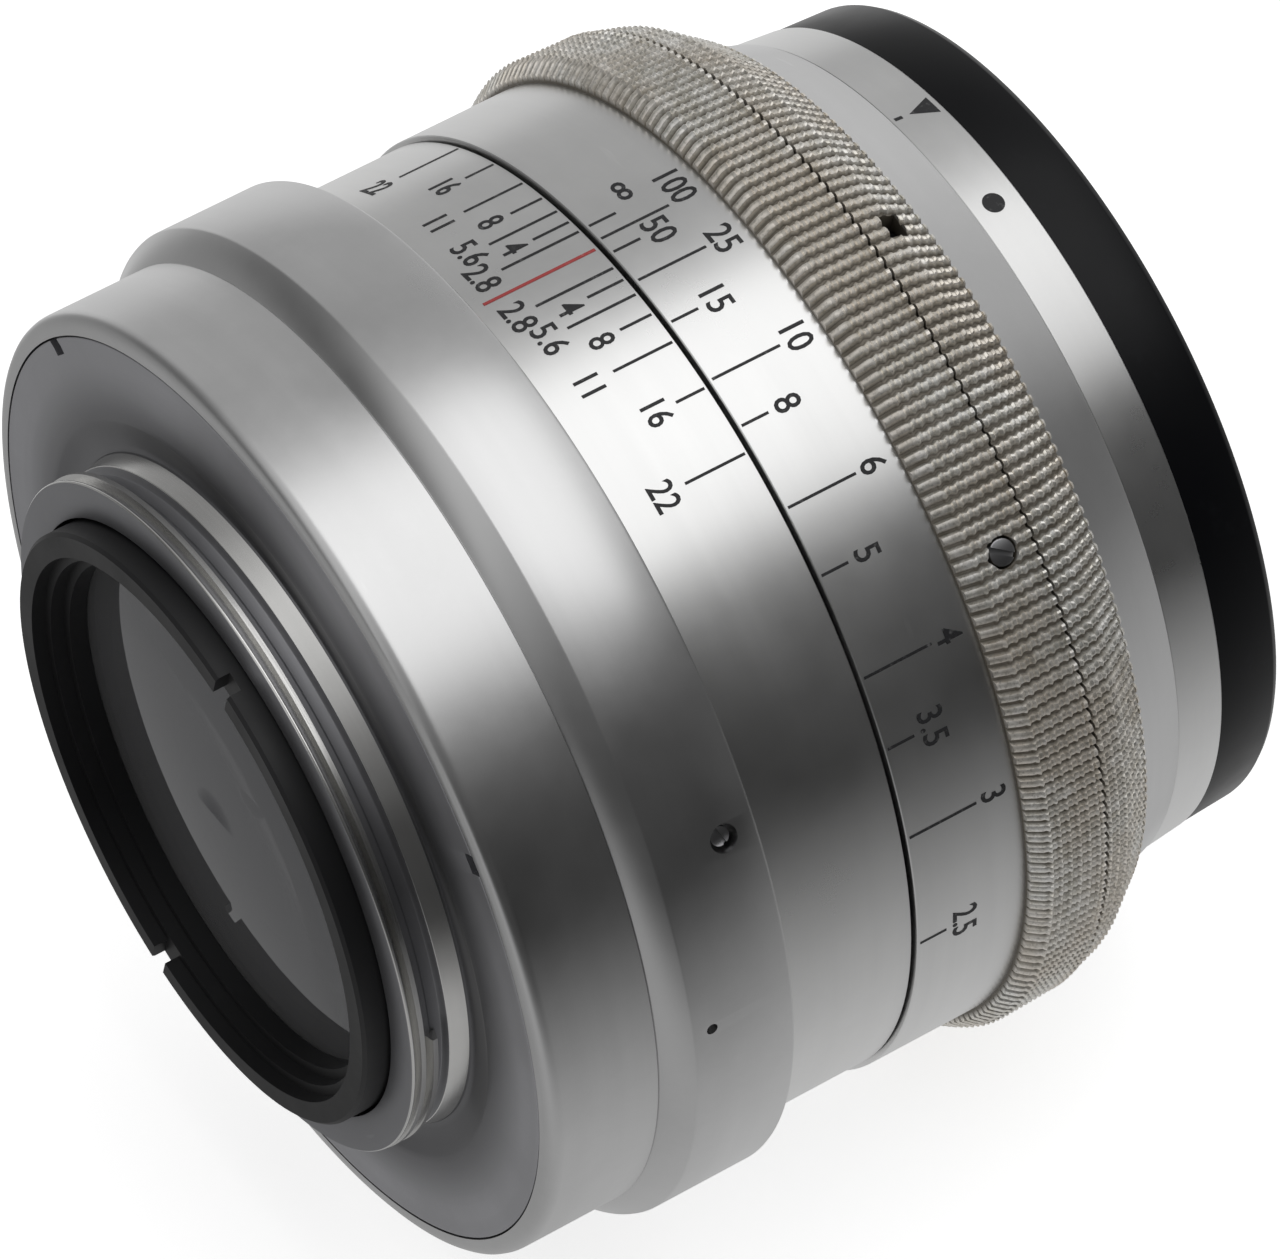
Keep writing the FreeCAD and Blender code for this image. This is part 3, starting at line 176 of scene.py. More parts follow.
def stage_piece(form, name, material):
    """A piece of the studio, which isn't part of the lens."""
    mesh = bpy.data.meshes.new(name)
    form.to_mesh(mesh)
    form.free()
    mesh.materials.append(material)
    piece = new_object(name, mesh)
    return piece


def bare_finish(name):
    """A material with an empty tree."""
    material = bpy.data.materials.new(name)
    material.use_nodes = True
    material.node_tree.nodes.clear()
    return material, material.node_tree


table_paint, tree = bare_finish("white_table")
grain = add_node(tree, "TexNoise", {"Scale": 30.0, "Detail": 3.0})
tone = blend_colours(tree, grain.outputs["Fac"], *TABLE_GREYS)
matt = add_node(tree, "BsdfDiffuse", {"Color": tone})
glow_share = calculate(tree, "MULTIPLY", seen_share(tree), TABLE_GLOW)
glow = add_node(tree, "Emission", {"Color": shade(1.0), "Strength": glow_share})
lit = add_node(tree, "AddShader", {0: matt.outputs[0], 1: glow.outputs[0]})
add_node(tree, "OutputMaterial", {"Surface": lit.outputs[0]})
form = bmesh.new()
bmesh.ops.create_grid(form, x_segments=1, y_segments=1, size=TABLE_REACH)
bmesh.ops.translate(form, vec=(0, 0, FLOOR_HEIGHT), verts=form.verts)
stage_piece(form, "white_table", table_paint)
print("table at", round(FLOOR_HEIGHT / MM, 1), "mm")

# %% [markdown]
# ## Room and softbox
# Satin metal needs darker things to mirror: a real studio is a dim room round the lit table. Here a
# dome and a sheet on the table stand for it, and only reflections see them. The dome's brightness
# goes by the angle round the optical axis, from straight up, with one ramp for each end of the axis
# and one between. The sheet's goes by the way to one side, in millimetres. Flat cards would do as
# well, but a dome has soft borders. One softbox above gives the shadow.

# %% Room that only reflections see
ROOM_RADIUS = 1.6
SHEET_REACH = 2.0
SHEET_LIFT = 0.2 * MM
ROOM_BESIDE = ((-150, 0.98), (-116, 0.54), (-80, 0.42), (-60, 0.46), (-40, 0.36), (-28, 0.44),
               (-18, 0.76), (0, 0.72), (30, 0.72), (37, 0.75), (43, 0.30), (50, 0.09),
               (70, 0.05), (90, 0.02))
ROOM_BEHIND = ((-110, 0.20), (-84, 0.15), (-72, 0.08), (-50, 0.20), (-34, 0.45), (-14, 0.76),
               (8, 0.64), (36, 0.20), (65, 0.06), (95, 0.05))
ROOM_AHEAD = ((-110, 0.98), (-60, 0.68), (-30, 0.55), (0, 0.60), (30, 0.26), (60, 0.06),
              (100, 0.17))
TABLE_AHEAD = ((-300, 0.02), (-120, 0.17), (-70, 0.32), (-30, 0.58), (60, 0.85), (200, 0.74))
# The dip at 0 mm, where the lens lies, is a painted shadow of the lens on the sheet.
TABLE_BEHIND = ((-200, 0.05), (-150, 0.09), (-90, 0.22), (-62, 0.42), (-45, 0.46), (0, 0.32),
                (60, 0.38), (160, 0.30))
BESIDE_TO_BEHIND = (-0.05, 0.30)
BESIDE_TO_AHEAD = (-0.50, -0.75)
SHEET_AHEAD_TO_BEHIND = (-0.02, 0.008)


def brightness_ramp(tree, value, stops, low, high):
    """Grey by a value: stops are (value, brightness) pairs within low and high."""
    node = add_node(tree, "ValToRGB", {0: remap(tree, value, low, high)})
    ramp = node.color_ramp
    ramp.interpolation = "LINEAR"
    while len(ramp.elements) < len(stops):
        ramp.elements.new(1.0)
    for element, (place, brightness) in zip(ramp.elements, stops):
        element.position = (place - low) / (high - low)
        element.color = shade(brightness)
    return node.outputs[0]


def glowing_finish(name):
    """An emission that is coloured below, and the object coordinates that steer it."""
    material, tree = bare_finish(name)
    place = add_node(tree, "TexCoord").outputs["Object"]
    glow = add_node(tree, "Emission", {"Strength": 1.0})
    add_node(tree, "OutputMaterial", {"Surface": glow.outputs[0]})
    return material, tree, place, glow


def only_in_reflections(piece):
    """Hide a stage piece from everything but glossy rays."""
    for rays in ("camera", "diffuse", "transmission", "shadow", "volume_scatter"):
        setattr(piece, "visible_" + rays, False)


room, tree, place, glow = glowing_finish("dim_room")
away = add_node(tree, "VectorMath", {0: place}, operation="NORMALIZE").outputs[0]
parts = add_node(tree, "SeparateXYZ", {0: away})
leftwards = calculate(tree, "MULTIPLY", parts.outputs[0], -1.0)
turn = calculate(tree, "DEGREES", calculate(tree, "ARCTAN2", leftwards, parts.outputs[2]))
beside, behind, ahead = (brightness_ramp(tree, turn, stops, -180, 180)
                         for stops in (ROOM_BESIDE, ROOM_BEHIND, ROOM_AHEAD))
along = parts.outputs[1]
tone = blend_colours(tree, remap(tree, along, *BESIDE_TO_BEHIND), beside, behind)
tone = blend_colours(tree, remap(tree, along, *BESIDE_TO_AHEAD), tone, ahead)
tree.links.new(tone, glow.inputs["Color"])
form = bmesh.new()
bmesh.ops.create_uvsphere(form, u_segments=64, v_segments=32, radius=ROOM_RADIUS)
only_in_reflections(stage_piece(form, "dim_room_dome", room))

sheet, tree, place, glow = glowing_finish("grey_sheet")
parts = add_node(tree, "SeparateXYZ", {0: place})
across = calculate(tree, "MULTIPLY", parts.outputs[0], 1 / MM)
before, after = (brightness_ramp(tree, across, stops, -300, 300)
                 for stops in (TABLE_AHEAD, TABLE_BEHIND))
turn_share = remap(tree, parts.outputs[1], *SHEET_AHEAD_TO_BEHIND)
tree.links.new(blend_colours(tree, turn_share, before, after), glow.inputs["Color"])
form = bmesh.new()
bmesh.ops.create_grid(form, x_segments=1, y_segments=1, size=SHEET_REACH)
bmesh.ops.translate(form, vec=(0, 0, FLOOR_HEIGHT + SHEET_LIFT), verts=form.verts)
only_in_reflections(stage_piece(form, "grey_sheet_on_table", sheet))
print("room and sheet placed")

# %% Softbox
SOFTBOX_PLACE = Vector((-0.094, -0.161, 0.591))
SOFTBOX_WIDTH, SOFTBOX_DEPTH = 0.56, 0.50
SOFTBOX_BRIGHTNESS = 0.72    # what a mirror sees in it
lamp = bpy.data.lights.new("softbox_above", "AREA")
lamp.shape = "RECTANGLE"
lamp.size = SOFTBOX_WIDTH
lamp.size_y = SOFTBOX_DEPTH
lamp.energy = SOFTBOX_BRIGHTNESS * math.pi * SOFTBOX_WIDTH * SOFTBOX_DEPTH
softbox = new_object("softbox_above", lamp)
back = SOFTBOX_PLACE.normalized()
up = back.cross(Vector((1, 0, 0))).normalized()
aim(softbox, SOFTBOX_PLACE, up.cross(back), up, back)
print("softbox of", round(lamp.energy, 3), "W")

# %% [markdown]
# ## Turned metal
# Barrels like these are turned on a lathe and then made satin. The tool leaves faint rings round
# the axis on a band, and round the centre on a flat face. The sum of the distance along the axis
# and the distance from it changes across both kinds of ring, so noise on that sum draws both.
# Clouds of handling wear and a few thin rubs break up the shine; painted shade darkens the flange
# by the neck. Scratches drawn as lines would look added, because satin metal hides most of them.


# %% Turned aluminium
# How dark the painted shade by the neck gets.
NECK_SHADE_SHARE = 0.75


def barrel_coordinates(tree):
    """Object coordinates, the distance from the axis, and that plus the way along the axis."""
    place = add_node(tree, "TexCoord").outputs["Object"]
    parts = add_node(tree, "SeparateXYZ", {0: place})
    flat = add_node(tree, "CombineXYZ", {0: parts.outputs[0], 2: parts.outputs[2]})
    reach = add_node(tree, "VectorMath", {0: flat.outputs[0]}, operation="LENGTH")
    across = calculate(tree, "ADD", parts.outputs[1], reach.outputs["Value"])
    return place, parts, reach.outputs["Value"], across


def new_finish(name):
    """A new material, its tree and its shader."""
    material = bpy.data.materials.new(name)
    material.use_nodes = True
    return material, material.node_tree, material.node_tree.nodes["Principled BSDF"]


def noise_at(tree, vector, scale, detail=3.0, roughness=0.55):
    """Cloudy noise about the value 0.5 at a place."""
    return add_node(tree, "TexNoise", {"Vector": vector, "Scale": scale, "Detail": detail,
                                       "Roughness": roughness}).outputs["Fac"]


def bumps(tree, height, strength, distance):
    """A surface roughened by a height, with a distance in millimetres."""
    return add_node(tree, "Bump", {"Height": height, "Strength": strength,
                                   "Distance": distance * MM}).outputs[0]


def along_rings(tree, parts, across, share):
    """A place that changes fast across the turning rings and slowly along them."""
    round_way = add_node(tree, "CombineXYZ", {0: parts.outputs[0], 2: parts.outputs[2]})
    slow = add_node(tree, "VectorMath", {0: round_way.outputs[0], "Scale": share},
                    operation="SCALE")
    lifted = add_node(tree, "CombineXYZ", {1: across})
    return add_node(tree, "VectorMath", {0: slow.outputs[0], 1: lifted.outputs[0]},
                    operation="ADD").outputs[0]


def tinted(colour, share):
    """A colour made darker or lighter."""
    return [min(1.0, part * share) for part in colour] + [1.0]


def turned_metal(name, colour, roughness, lines=0.05, clouds=0.07, rubs=0.25, spots=0.35,
                 neck_shade=None):
    """Satin turned metal: rings from the tool, cloudy wear, thin rubs and small dark spots.
    Where neck_shade gives two radii in millimetres, painted shade fades from the first to the
    second."""
    material, tree, shader = new_finish(name)
    place, parts, reach, across = barrel_coordinates(tree)
    ring_place = along_rings(tree, parts, across, 0.03)
    fine = noise_at(tree, ring_place, 9000.0, 2.0)
    broad = noise_at(tree, ring_place, 900.0, 3.0)
    cloud = noise_at(tree, place, 85.0, 6.0, 0.62)
    patch = noise_at(tree, place, 30.0, 3.0)
    rub_noise = noise_at(tree, along_rings(tree, parts, across, 0.16), 1500.0, 2.0)
    rub = calculate(tree, "MULTIPLY", remap(tree, rub_noise, 0.70, 0.76),
                    remap(tree, patch, 0.50, 0.60))
    speck = add_node(tree, "TexVoronoi", {"Vector": place, "Scale": 240.0})
    dark = remap(tree, speck.outputs["Distance"], 0.06, 0.12, 1.0, 0.0)
    rare = calculate(tree, "GREATER_THAN", speck.outputs["Color"], 0.93)
    spot = calculate(tree, "MULTIPLY", dark, rare)
    tone = blend_colours(tree, remap(tree, cloud, 0.35, 0.65),
                         tinted(colour, 1 - clouds), tinted(colour, 1 + clouds))
    streaked = blend_colours(tree, remap(tree, broad, 0.3, 0.7, 0.0, 0.5), tone,
                             tinted(colour, 1 - lines))
    rubbed = blend_colours(tree, calculate(tree, "MULTIPLY", rub, rubs), streaked,
                           tinted(colour, 1.25))
    spotted = blend_colours(tree, calculate(tree, "MULTIPLY", spot, spots), rubbed,
                            tinted(colour, 0.3))
    # Painted shade: the flange turns darker in the corner by the neck.
    if neck_shade:
        near_neck = remap(tree, reach, neck_shade[0] * MM, neck_shade[1] * MM, NECK_SHADE_SHARE, 0.0, smooth=True)
        spotted = blend_colours(tree, near_neck, spotted, tinted(colour, 0.2))
    rough = calculate(tree, "ADD", remap(tree, cloud, 0.3, 0.7, roughness - 0.04, roughness + 0.05),
                      remap(tree, patch, 0.35, 0.65, -0.03, 0.04))
    fill(tree, shader, {"Base Color": spotted, "Metallic": 1.0, "Roughness": rough,
                        "Normal": bumps(tree, fine, lines, 0.02)})
    return material


satin_aluminium = turned_metal("satin_aluminium", (0.66, 0.66, 0.66), 0.32)
pale_aluminium = turned_metal("pale_fine_turned_aluminium", (0.735, 0.735, 0.73), 0.31, 0.05, 0.05)
bright_mount = turned_metal("bright_machined_mount", (0.76, 0.755, 0.74), 0.22, 0.16, 0.08, 0.4)
# The flange face has painted shade towards the neck.
flange_grey = turned_metal("dull_flange_face", (0.48, 0.48, 0.50), 0.42, 0.10, 0.10, 0.4, 0.6,
                           neck_shade=(22.5, 27.0))
# The dull end face, and painted shade in the relief groove and the thread roots.
end_and_groove_shade_grey = turned_metal("dull_mount_end_and_groove_shade", (0.36, 0.36, 0.375), 0.50, 0.10, 0.10, 0.4, 0.6)
bright_slope = turned_metal("bright_index_ring", (0.77, 0.77, 0.765), 0.30, 0.05, 0.05)
brass = turned_metal("turned_brass", (0.72, 0.53, 0.25), 0.34, 0.16, 0.08)
steel = turned_metal("turned_steel", (0.42, 0.42, 0.43), 0.32, 0.10, 0.10)
blade_steel = turned_metal("blackened_blade_steel", (0.055, 0.055, 0.06), 0.38, 0.08, 0.20)
print("materials so far:", len(bpy.data.materials))

# %% [markdown]
# ## Black finishes and paint
# The front rim is lacquered and a little glossy. The cells that hold the glass are matt, so that
# they don't send light into the picture. The scales are cut into the metal and filled with paint
# that has worn thin in places. Pure black would look like a hole, so each black keeps some grey.


# %% Black lacquer, matt black and paint
def black_finish(name, tone, worn, roughness, spread, gloss=0.5):
    """A black coat with rubbed places, and a slight unevenness like that of a sprayed film."""
    material, tree, shader = new_finish(name)
    place, _, _, across = barrel_coordinates(tree)
    cloud = noise_at(tree, place, 140.0, 5.0, 0.6)
    rub = remap(tree, noise_at(tree, place, 420.0, 4.0, 0.7), 0.60, 0.80, 0.0, 0.4)
    rough = remap(tree, cloud, 0.3, 0.7, roughness - spread, roughness + spread)
    rings = add_node(tree, "TexNoise", {"W": across, "Scale": 5200.0, "Detail": 2.0},
                     noise_dimensions="1D").outputs["Fac"]
    fill(tree, shader, {"Base Color": blend_colours(tree, rub, tone, worn), "Roughness": rough,
                        "Specular IOR Level": gloss, "Normal": bumps(tree, rings, 0.08, 0.01)})
    return material


black_lacquer = black_finish("black_lacquer", (0.0022, 0.0024, 0.0034, 1),
                             (0.010, 0.011, 0.014, 1), 0.33, 0.05, 0.2)
matt_black = black_finish("matt_black_anodising", (0.0045, 0.0045, 0.0055, 1),
                          (0.014, 0.014, 0.015, 1), 0.50, 0.06)


def paint_fill(name, colour, worn):
    """Paint in an engraved line: dull, with flecks where the metal shows through."""
    material, tree, shader = new_finish(name)
    place = add_node(tree, "TexCoord").outputs["Object"]
    fleck = remap(tree, noise_at(tree, place, 2600.0, 3.0, 0.7), 0.58, 0.72, 0.0, 0.6)
    fill(tree, shader, {"Base Color": blend_colours(tree, fleck, colour, worn),
                        "Roughness": 0.55})
    return material


black_paint = paint_fill("black_scale_paint", (0.012, 0.012, 0.014, 1), (0.14, 0.14, 0.14, 1))
red_paint = paint_fill("red_index_paint", (0.36, 0.030, 0.030, 1), (0.50, 0.24, 0.22, 1))
print("black lacquer, matt black, black and red paint")

# %% [markdown]
# ## Glass
# Each lens element is glass with a thin coating that colours its reflection. Each also has a grey
# tint, which is painted shade: it darkens the glass like the shade inside the lens. The rear one
# looks evenly grey in the photograph, so it is also partly a dark grey matt surface, more painted
# shade.
# Clear glass would show every ring inside the cell.


# %% Coated glass
GLASS_IOR = 1.52
COOL_COAT = (0.50, 0.52, 0.62, 1)
WARM_COAT = (0.60, 0.52, 0.44, 1)


def coated_glass(name, tint, coat, shade_haze):
    """Glass with a faintly coloured reflection; its grey tint and its matt share are painted shade.
    """
    material, tree, shader = new_finish(name)
    place = add_node(tree, "TexCoord").outputs["Object"]
    dust = remap(tree, noise_at(tree, place, 300.0, 5.0, 0.6), 0.40, 0.75, 0.0, 0.06)
    fill(tree, shader, {"Base Color": tint, "Transmission Weight": 1.0 - shade_haze, "IOR": GLASS_IOR,
                        "Specular Tint": coat, "Roughness": dust})
    return material


# The grey tints and the matt share are painted shade that darkens the glass.
outer_glass = coated_glass("coated_outer_glass", (0.27, 0.27, 0.272, 1), COOL_COAT, 0.17)
rear_glass = coated_glass("coated_rear_glass", (0.12, 0.12, 0.122, 1), COOL_COAT, 0.45)
inner_glass = coated_glass("coated_inner_glass", (0.35, 0.35, 0.345, 1), WARM_COAT, 0.0)
print("outer, rear and inner glass")

# %% [markdown]
# ## Turned pieces
# A turned part is an outline spun round the axis. It could also be stacked up from cylinders, but
# one outline gives every step, slope and bore at once. A small bevel follows on each sharp ring
# edge, because real edges are broken and catch a thin line of light.

# %% Helpers for turned pieces
RING_STEPS = 360
SHARP = math.radians(28)
SAME_RING = 1e-7


def finish_piece(form, name, body, slot, *materials, replaces=()):
    """Turn a bmesh into a piece that rides on a body, smooth except at its sharp edges."""
    mesh = bpy.data.meshes.new(name)
    form.to_mesh(mesh)
    form.free()
    for material in materials:
        mesh.materials.append(material)
    mesh.shade_smooth()
    mesh.set_sharp_from_angle(angle=SHARP)
    piece = new_object(name, mesh)
    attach(piece, body)
    if replaces:
        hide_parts(*replaces)
    print("%-26s %6d faces" % (name, len(mesh.polygons)))


def face_outwards(form):
    """Turn the faces of a closed form outwards."""
    bmesh.ops.recalc_face_normals(form, faces=form.faces)
    if form.calc_volume(signed=True) < 0:
        bmesh.ops.reverse_faces(form, faces=form.faces)


def reach_of(vert):
    """A vertex's distance from the optical axis."""
    return math.hypot(vert.co.x, vert.co.z)


def spin_outline(corners):
    """Spin a closed outline of (radius, station) corners round the axis."""
    form = bmesh.new()
    points = [form.verts.new((radius * MM, -station * MM, 0)) for radius, station in corners]
    sides = [form.edges.new(pair) for pair in zip(points, points[1:] + points[:1])]
    bmesh.ops.spin(form, geom=points + sides, cent=(0, 0, 0), axis=(0, 1, 0), angle=math.tau,
                   steps=RING_STEPS, use_merge=True)
    face_outwards(form)
    return form


def break_edges(form, size, least_angle):
    """Bevel every ring edge at which the surface turns by more than an angle."""
    rings = [edge for edge in form.edges
             if abs(edge.verts[0].co.y - edge.verts[1].co.y) < SAME_RING
             and abs(reach_of(edge.verts[0]) - reach_of(edge.verts[1])) < SAME_RING
             and edge.calc_face_angle(0.0) > math.radians(least_angle)]
    bmesh.ops.bevel(form, geom=rings, offset=size * MM, offset_type="OFFSET", segments=2,
                    profile=0.5, affect="EDGES", clamp_overlap=True, material=-1)


print("turned pieces have", RING_STEPS, "steps")

# %% [markdown]
# ## Screw threads
# A real thread is one ridge that winds round, so it is made as one: its small section is spun
# several turns and moves along the axis a little at each step. Separate rings would look alike
# from the side, but the run-out at the end of a thread shows the difference.


# %% A helical ridge
THREAD_STEPS = 180
ROOT_SINK = 0.06
FOOT_SHARE = 0.46


def add_thread(form, core, crest, pitch, first, turns, flat=0.0):
    """Add a ridge that winds along the axis from a station, from a core radius to a crest. Its
    foot is sunk into the core, and flat is the width of its top."""
    foot = (core - math.copysign(ROOT_SINK, crest - core)) * MM
    half = pitch * FOOT_SHARE * MM
    top = flat * MM / 2
    start = -first * MM
    places = [(foot, start + half, 0), (crest * MM, start + top, 0), (foot, start - half, 0)]
    if flat:
        places.insert(2, (crest * MM, start - top, 0))
    section = form.faces.new([form.verts.new(place) for place in places])
    bmesh.ops.spin(form, geom=[section], cent=(0, 0, 0), axis=(0, 1, 0),
                   dvec=(0, -pitch * MM / THREAD_STEPS, 0), angle=math.tau * turns,
                   steps=int(THREAD_STEPS * turns))


print("thread helper ready")

# %% [markdown]
# ## Mount
# The mount is one bright ring: a short screw thread, a relief groove behind it, a plain neck with
# a groove at its foot and a flat flange that rests on the camera. Two small notches at its rim take
# a spanner. They are cut with a Boolean modifier, which is applied at once, because a cutter is
# quicker than moving vertices.


# %% Cutting tools
def seat_matrix(radius, station, angle):
    """Local X runs round the barrel, Y runs forward and Z points out, at a place on it."""
    turn = math.radians(angle)
    out = Vector((-math.sin(turn), 0, math.cos(turn)))
    forward = Vector((0, -1, 0))
    around = forward.cross(out)
    place = out * radius * MM - Vector((0, station * MM, 0))
    return Matrix.Translation(place) @ Matrix((around, forward, out)).transposed().to_4x4()


def cut_away(form, cutter):
    """Subtract one closed bmesh from another and give the result as a bmesh."""
    holders = []
    for name, part in (("body_of_cut", form), ("cutter", cutter)):
        mesh = bpy.data.meshes.new(name)
        part.to_mesh(mesh)
        part.free()
        holders.append(new_object(name, mesh))
    tool = holders[0].modifiers.new("cut", "BOOLEAN")
    tool.object = holders[1]
    tool.operation = "DIFFERENCE"
    tool.solver = "EXACT"
    view = bpy.context.evaluated_depsgraph_get()
    result = bmesh.new()
    result.from_mesh(holders[0].evaluated_get(view).to_mesh())
    for holder in holders:
        mesh = holder.data
        bpy.data.objects.remove(holder)
        bpy.data.meshes.remove(mesh)
    return result


def add_box(form, size, matrix):
    """Add a box of a size in millimetres at a matrix."""
    made = bmesh.ops.create_cube(form, size=1.0)
    bmesh.ops.scale(form, vec=[side * MM for side in size], verts=made["verts"])
    bmesh.ops.transform(form, matrix=matrix, verts=made["verts"])


def add_rod(form, radius, length, matrix, sides=32):
    """Add a rod that ends at the matrix's place and runs back along its -Z."""
    made = bmesh.ops.create_cone(form, cap_ends=True, segments=sides, radius1=radius * MM,
                                 radius2=radius * MM, depth=length * MM)
    bmesh.ops.translate(form, vec=(0, 0, -length * MM / 2), verts=made["verts"])
    bmesh.ops.transform(form, matrix=matrix, verts=made["verts"])


print("cutting helpers ready")

# %% Mount flange with its thread
THREAD_CREST = 21.0
THREAD_CORE = 20.38
NOTCH_ANGLES = (56.7, -45.6)
NECK_GROOVE = (1.02 * MM, 3.4 * MM, 20.6 * MM)    # two ends along the axis and a radius
MOUNT_END = (3.55 * MM, 20.87 * MM)
mount = spin_outline([
    (18.7, -3.6), (20.85, -3.6), (20.95, -3.5), (20.95, -3.38), (THREAD_CORE, -3.2),
    (THREAD_CORE, -2.05), (20.28, -1.95), (20.28, -1.25), (20.50, -1.10), (20.70, -1.0),
    (20.96, 0.12), (21.02, 0.24), (21.15, 0.32), (21.4, 0.36), (22.3, 0.30), (22.95, 0.04),
    (23.1, 0.0),
    (23.5, 0.05), (27.7, 0.05), (28.13, 0.0), (28.18, 0.05), (28.18, 2.4), (18.7, 2.4)])
break_edges(mount, 0.05, 35.0)
notches = bmesh.new()
for angle in NOTCH_ANGLES:
    add_box(notches, (1.25, 1.3, 2.6), seat_matrix(28.5, 0.0, angle))
mount = cut_away(mount, notches)
add_thread(mount, THREAD_CORE, THREAD_CREST, 0.8, -3.25, 1.5, flat=0.30)
face_outwards(mount)
# The darkest grey is the dull mount end; in the relief groove and the thread roots it is painted
# shade.
for face in mount.faces:
    centre = face.calc_center_median()
    far = math.hypot(centre.x, centre.z)
    in_shaded_groove = NECK_GROOVE[0] < centre.y < NECK_GROOVE[1] and far < NECK_GROOVE[2]
    on_end = centre.y > MOUNT_END[0] and far < MOUNT_END[1]
    on_flange = centre.y < -0.1 * MM or centre.y < 0.3 * MM and far > 21.2 * MM
    face.material_index = 2 if in_shaded_groove or on_end else 1 if on_flange else 0
finish_piece(mount, "screw_mount_flange", "barrel", "bright_metal", bright_mount, flange_grey,
             end_and_groove_shade_grey, replaces=["mount_flange"])

# %% [markdown]
# ## Barrel rings
# The barrel, the wide collar and the two scale rings are plain turned rings. Their CAD shapes have
# sharp corners, so each is spun again with a broken edge. A bevel modifier could break the edges
# too, but it would also round the bores. The barrel has a slot for the pin that stops the
# focusing ring. A section of the slot is spun part of the way round and cut out.

# %% Barrel and its stop slot
SLOT_START, SLOT_TURN = math.radians(167.0), math.radians(103.2)
barrel = spin_outline([
    (28.28, 0.0), (28.7, 0.0), (28.98, 0.05), (29.22, 0.18), (29.4, 0.38), (29.49, 0.65),
    (29.5, 0.85), (29.5, 7.0), (29.45, 7.05), (28.4, 7.05), (28.4, 15.1), (26.5, 15.1),
    (26.5, 27.5), (24.0, 27.5), (24.0, 14.2), (25.1, 14.2), (25.1, 2.4), (28.28, 2.4)])
stop_slot = bmesh.new()
corners = [stop_slot.verts.new((0, -station * MM, radius * MM))
           for radius, station in ((24.9, 12.35), (28.6, 12.35), (28.6, 13.75), (24.9, 13.75))]
section = stop_slot.faces.new(corners)
bmesh.ops.rotate(stop_slot, verts=stop_slot.verts, cent=(0, 0, 0),
                 matrix=Matrix.Rotation(SLOT_START, 3, "Y"))
bmesh.ops.spin(stop_slot, geom=[section], cent=(0, 0, 0), axis=(0, 1, 0), angle=-SLOT_TURN,
               steps=60)
face_outwards(stop_slot)
barrel = cut_away(barrel, stop_slot)
finish_piece(barrel, "rear_barrel_body", "barrel", "satin_aluminium", satin_aluminium,
             replaces=["rear_barrel"])

# %% Collar with its screw holes
SCREW_TURNS = (0, 120, 240)
COLLAR_SCREW = (13.0, 64.6)    # station and angle of the first screw
COLLAR_HOLE = (9.8, 85.7)
collar = spin_outline([
    (28.42, 7.05), (29.46, 7.05), (29.56, 7.10), (30.94, 8.52), (31.0, 8.68), (31.0, 14.9),
    (30.95, 15.02), (30.85, 15.1), (28.42, 15.1)])
holes = bmesh.new()
for turn in SCREW_TURNS:
    add_rod(holes, 0.85, 5.0, seat_matrix(32.0, COLLAR_SCREW[0], COLLAR_SCREW[1] + turn))
add_rod(holes, 0.35, 1.9, seat_matrix(32.0, *COLLAR_HOLE), 24)
collar = cut_away(collar, holes)
finish_piece(collar, "wide_collar", "barrel", "satin_aluminium", satin_aluminium,
             replaces=["collar_ring"])

# %% Scale rings and index ring
depth_ring = spin_outline([
    (26.52, 15.1), (29.3, 15.1), (29.3, 23.97), (29.25, 24.02), (26.52, 24.02)])
finish_piece(depth_ring, "depth_scale_band", "barrel", "light_aluminium", pale_aluminium,
             replaces=["depth_scale_ring"])
distance_ring = spin_outline([
    (26.55, 24.2), (29.54, 24.2), (29.6, 24.26), (29.6, 31.5), (23.97, 31.5), (23.97, 27.7),
    (26.55, 27.7)])
finish_piece(distance_ring, "distance_scale_band", "focusing_ring", "satin_aluminium",
             pale_aluminium, replaces=["distance_scale_ring"])
index_band = spin_outline([
    (24.22, 44.38), (26.16, 44.38), (26.2, 44.44), (25.91, 47.54), (25.86, 47.6), (24.22, 47.6)])
finish_piece(index_band, "bright_index_band", "optics", "light_aluminium", bright_slope,
             replaces=["index_ring"])

# %% [markdown]
# ## Knurled grips
# The focusing grip and the aperture grip have straight ridges with fine cuts across them, so that
# fingers hold. One ridge is shaped as a small grid: its outer columns lie in the grooves beside it,
# and its rows swing to and fro and dip at each cut, which leaves a zigzag of beads. Spin copies it
# all round the barrel and welds the copies together. A little noise then wears the tops unevenly.
# A texture alone would leave the outline of the grip smooth.

# %% One ridge, copied round
RIDGES = 234
RIDGE_SHARES = (0.0, 0.09, 0.25, 0.39, 0.61, 0.75, 0.91, 1.0)
RIDGE_FALLS = (1.0, 1.0, 0.16, 0.0, 0.0, 0.16, 1.0, 1.0)
BEAD_PITCH = 0.33
BEAD_SWING = 0.085
CUT_DEPTH = 0.13
GROOVE_DEPTH = 0.42
WEAR_DEPTH = 0.05
WEAR_SCALE = 1300.0
WELD = 0.002 * MM


def bead_rows(first, last):
    """Rows along a ridge: a station, and the sideways swing and the depth of cut as shares."""
    rows = []
    count = int((last - first) / BEAD_PITCH)
    for index in range(count):
        start = first + index * BEAD_PITCH
        rows += [(start, 0, 1), (start + BEAD_PITCH / 2, 1 - 2 * (index % 2), 0)]
    return rows + [(first + count * BEAD_PITCH, 0, 1), (last, 0, 0)]


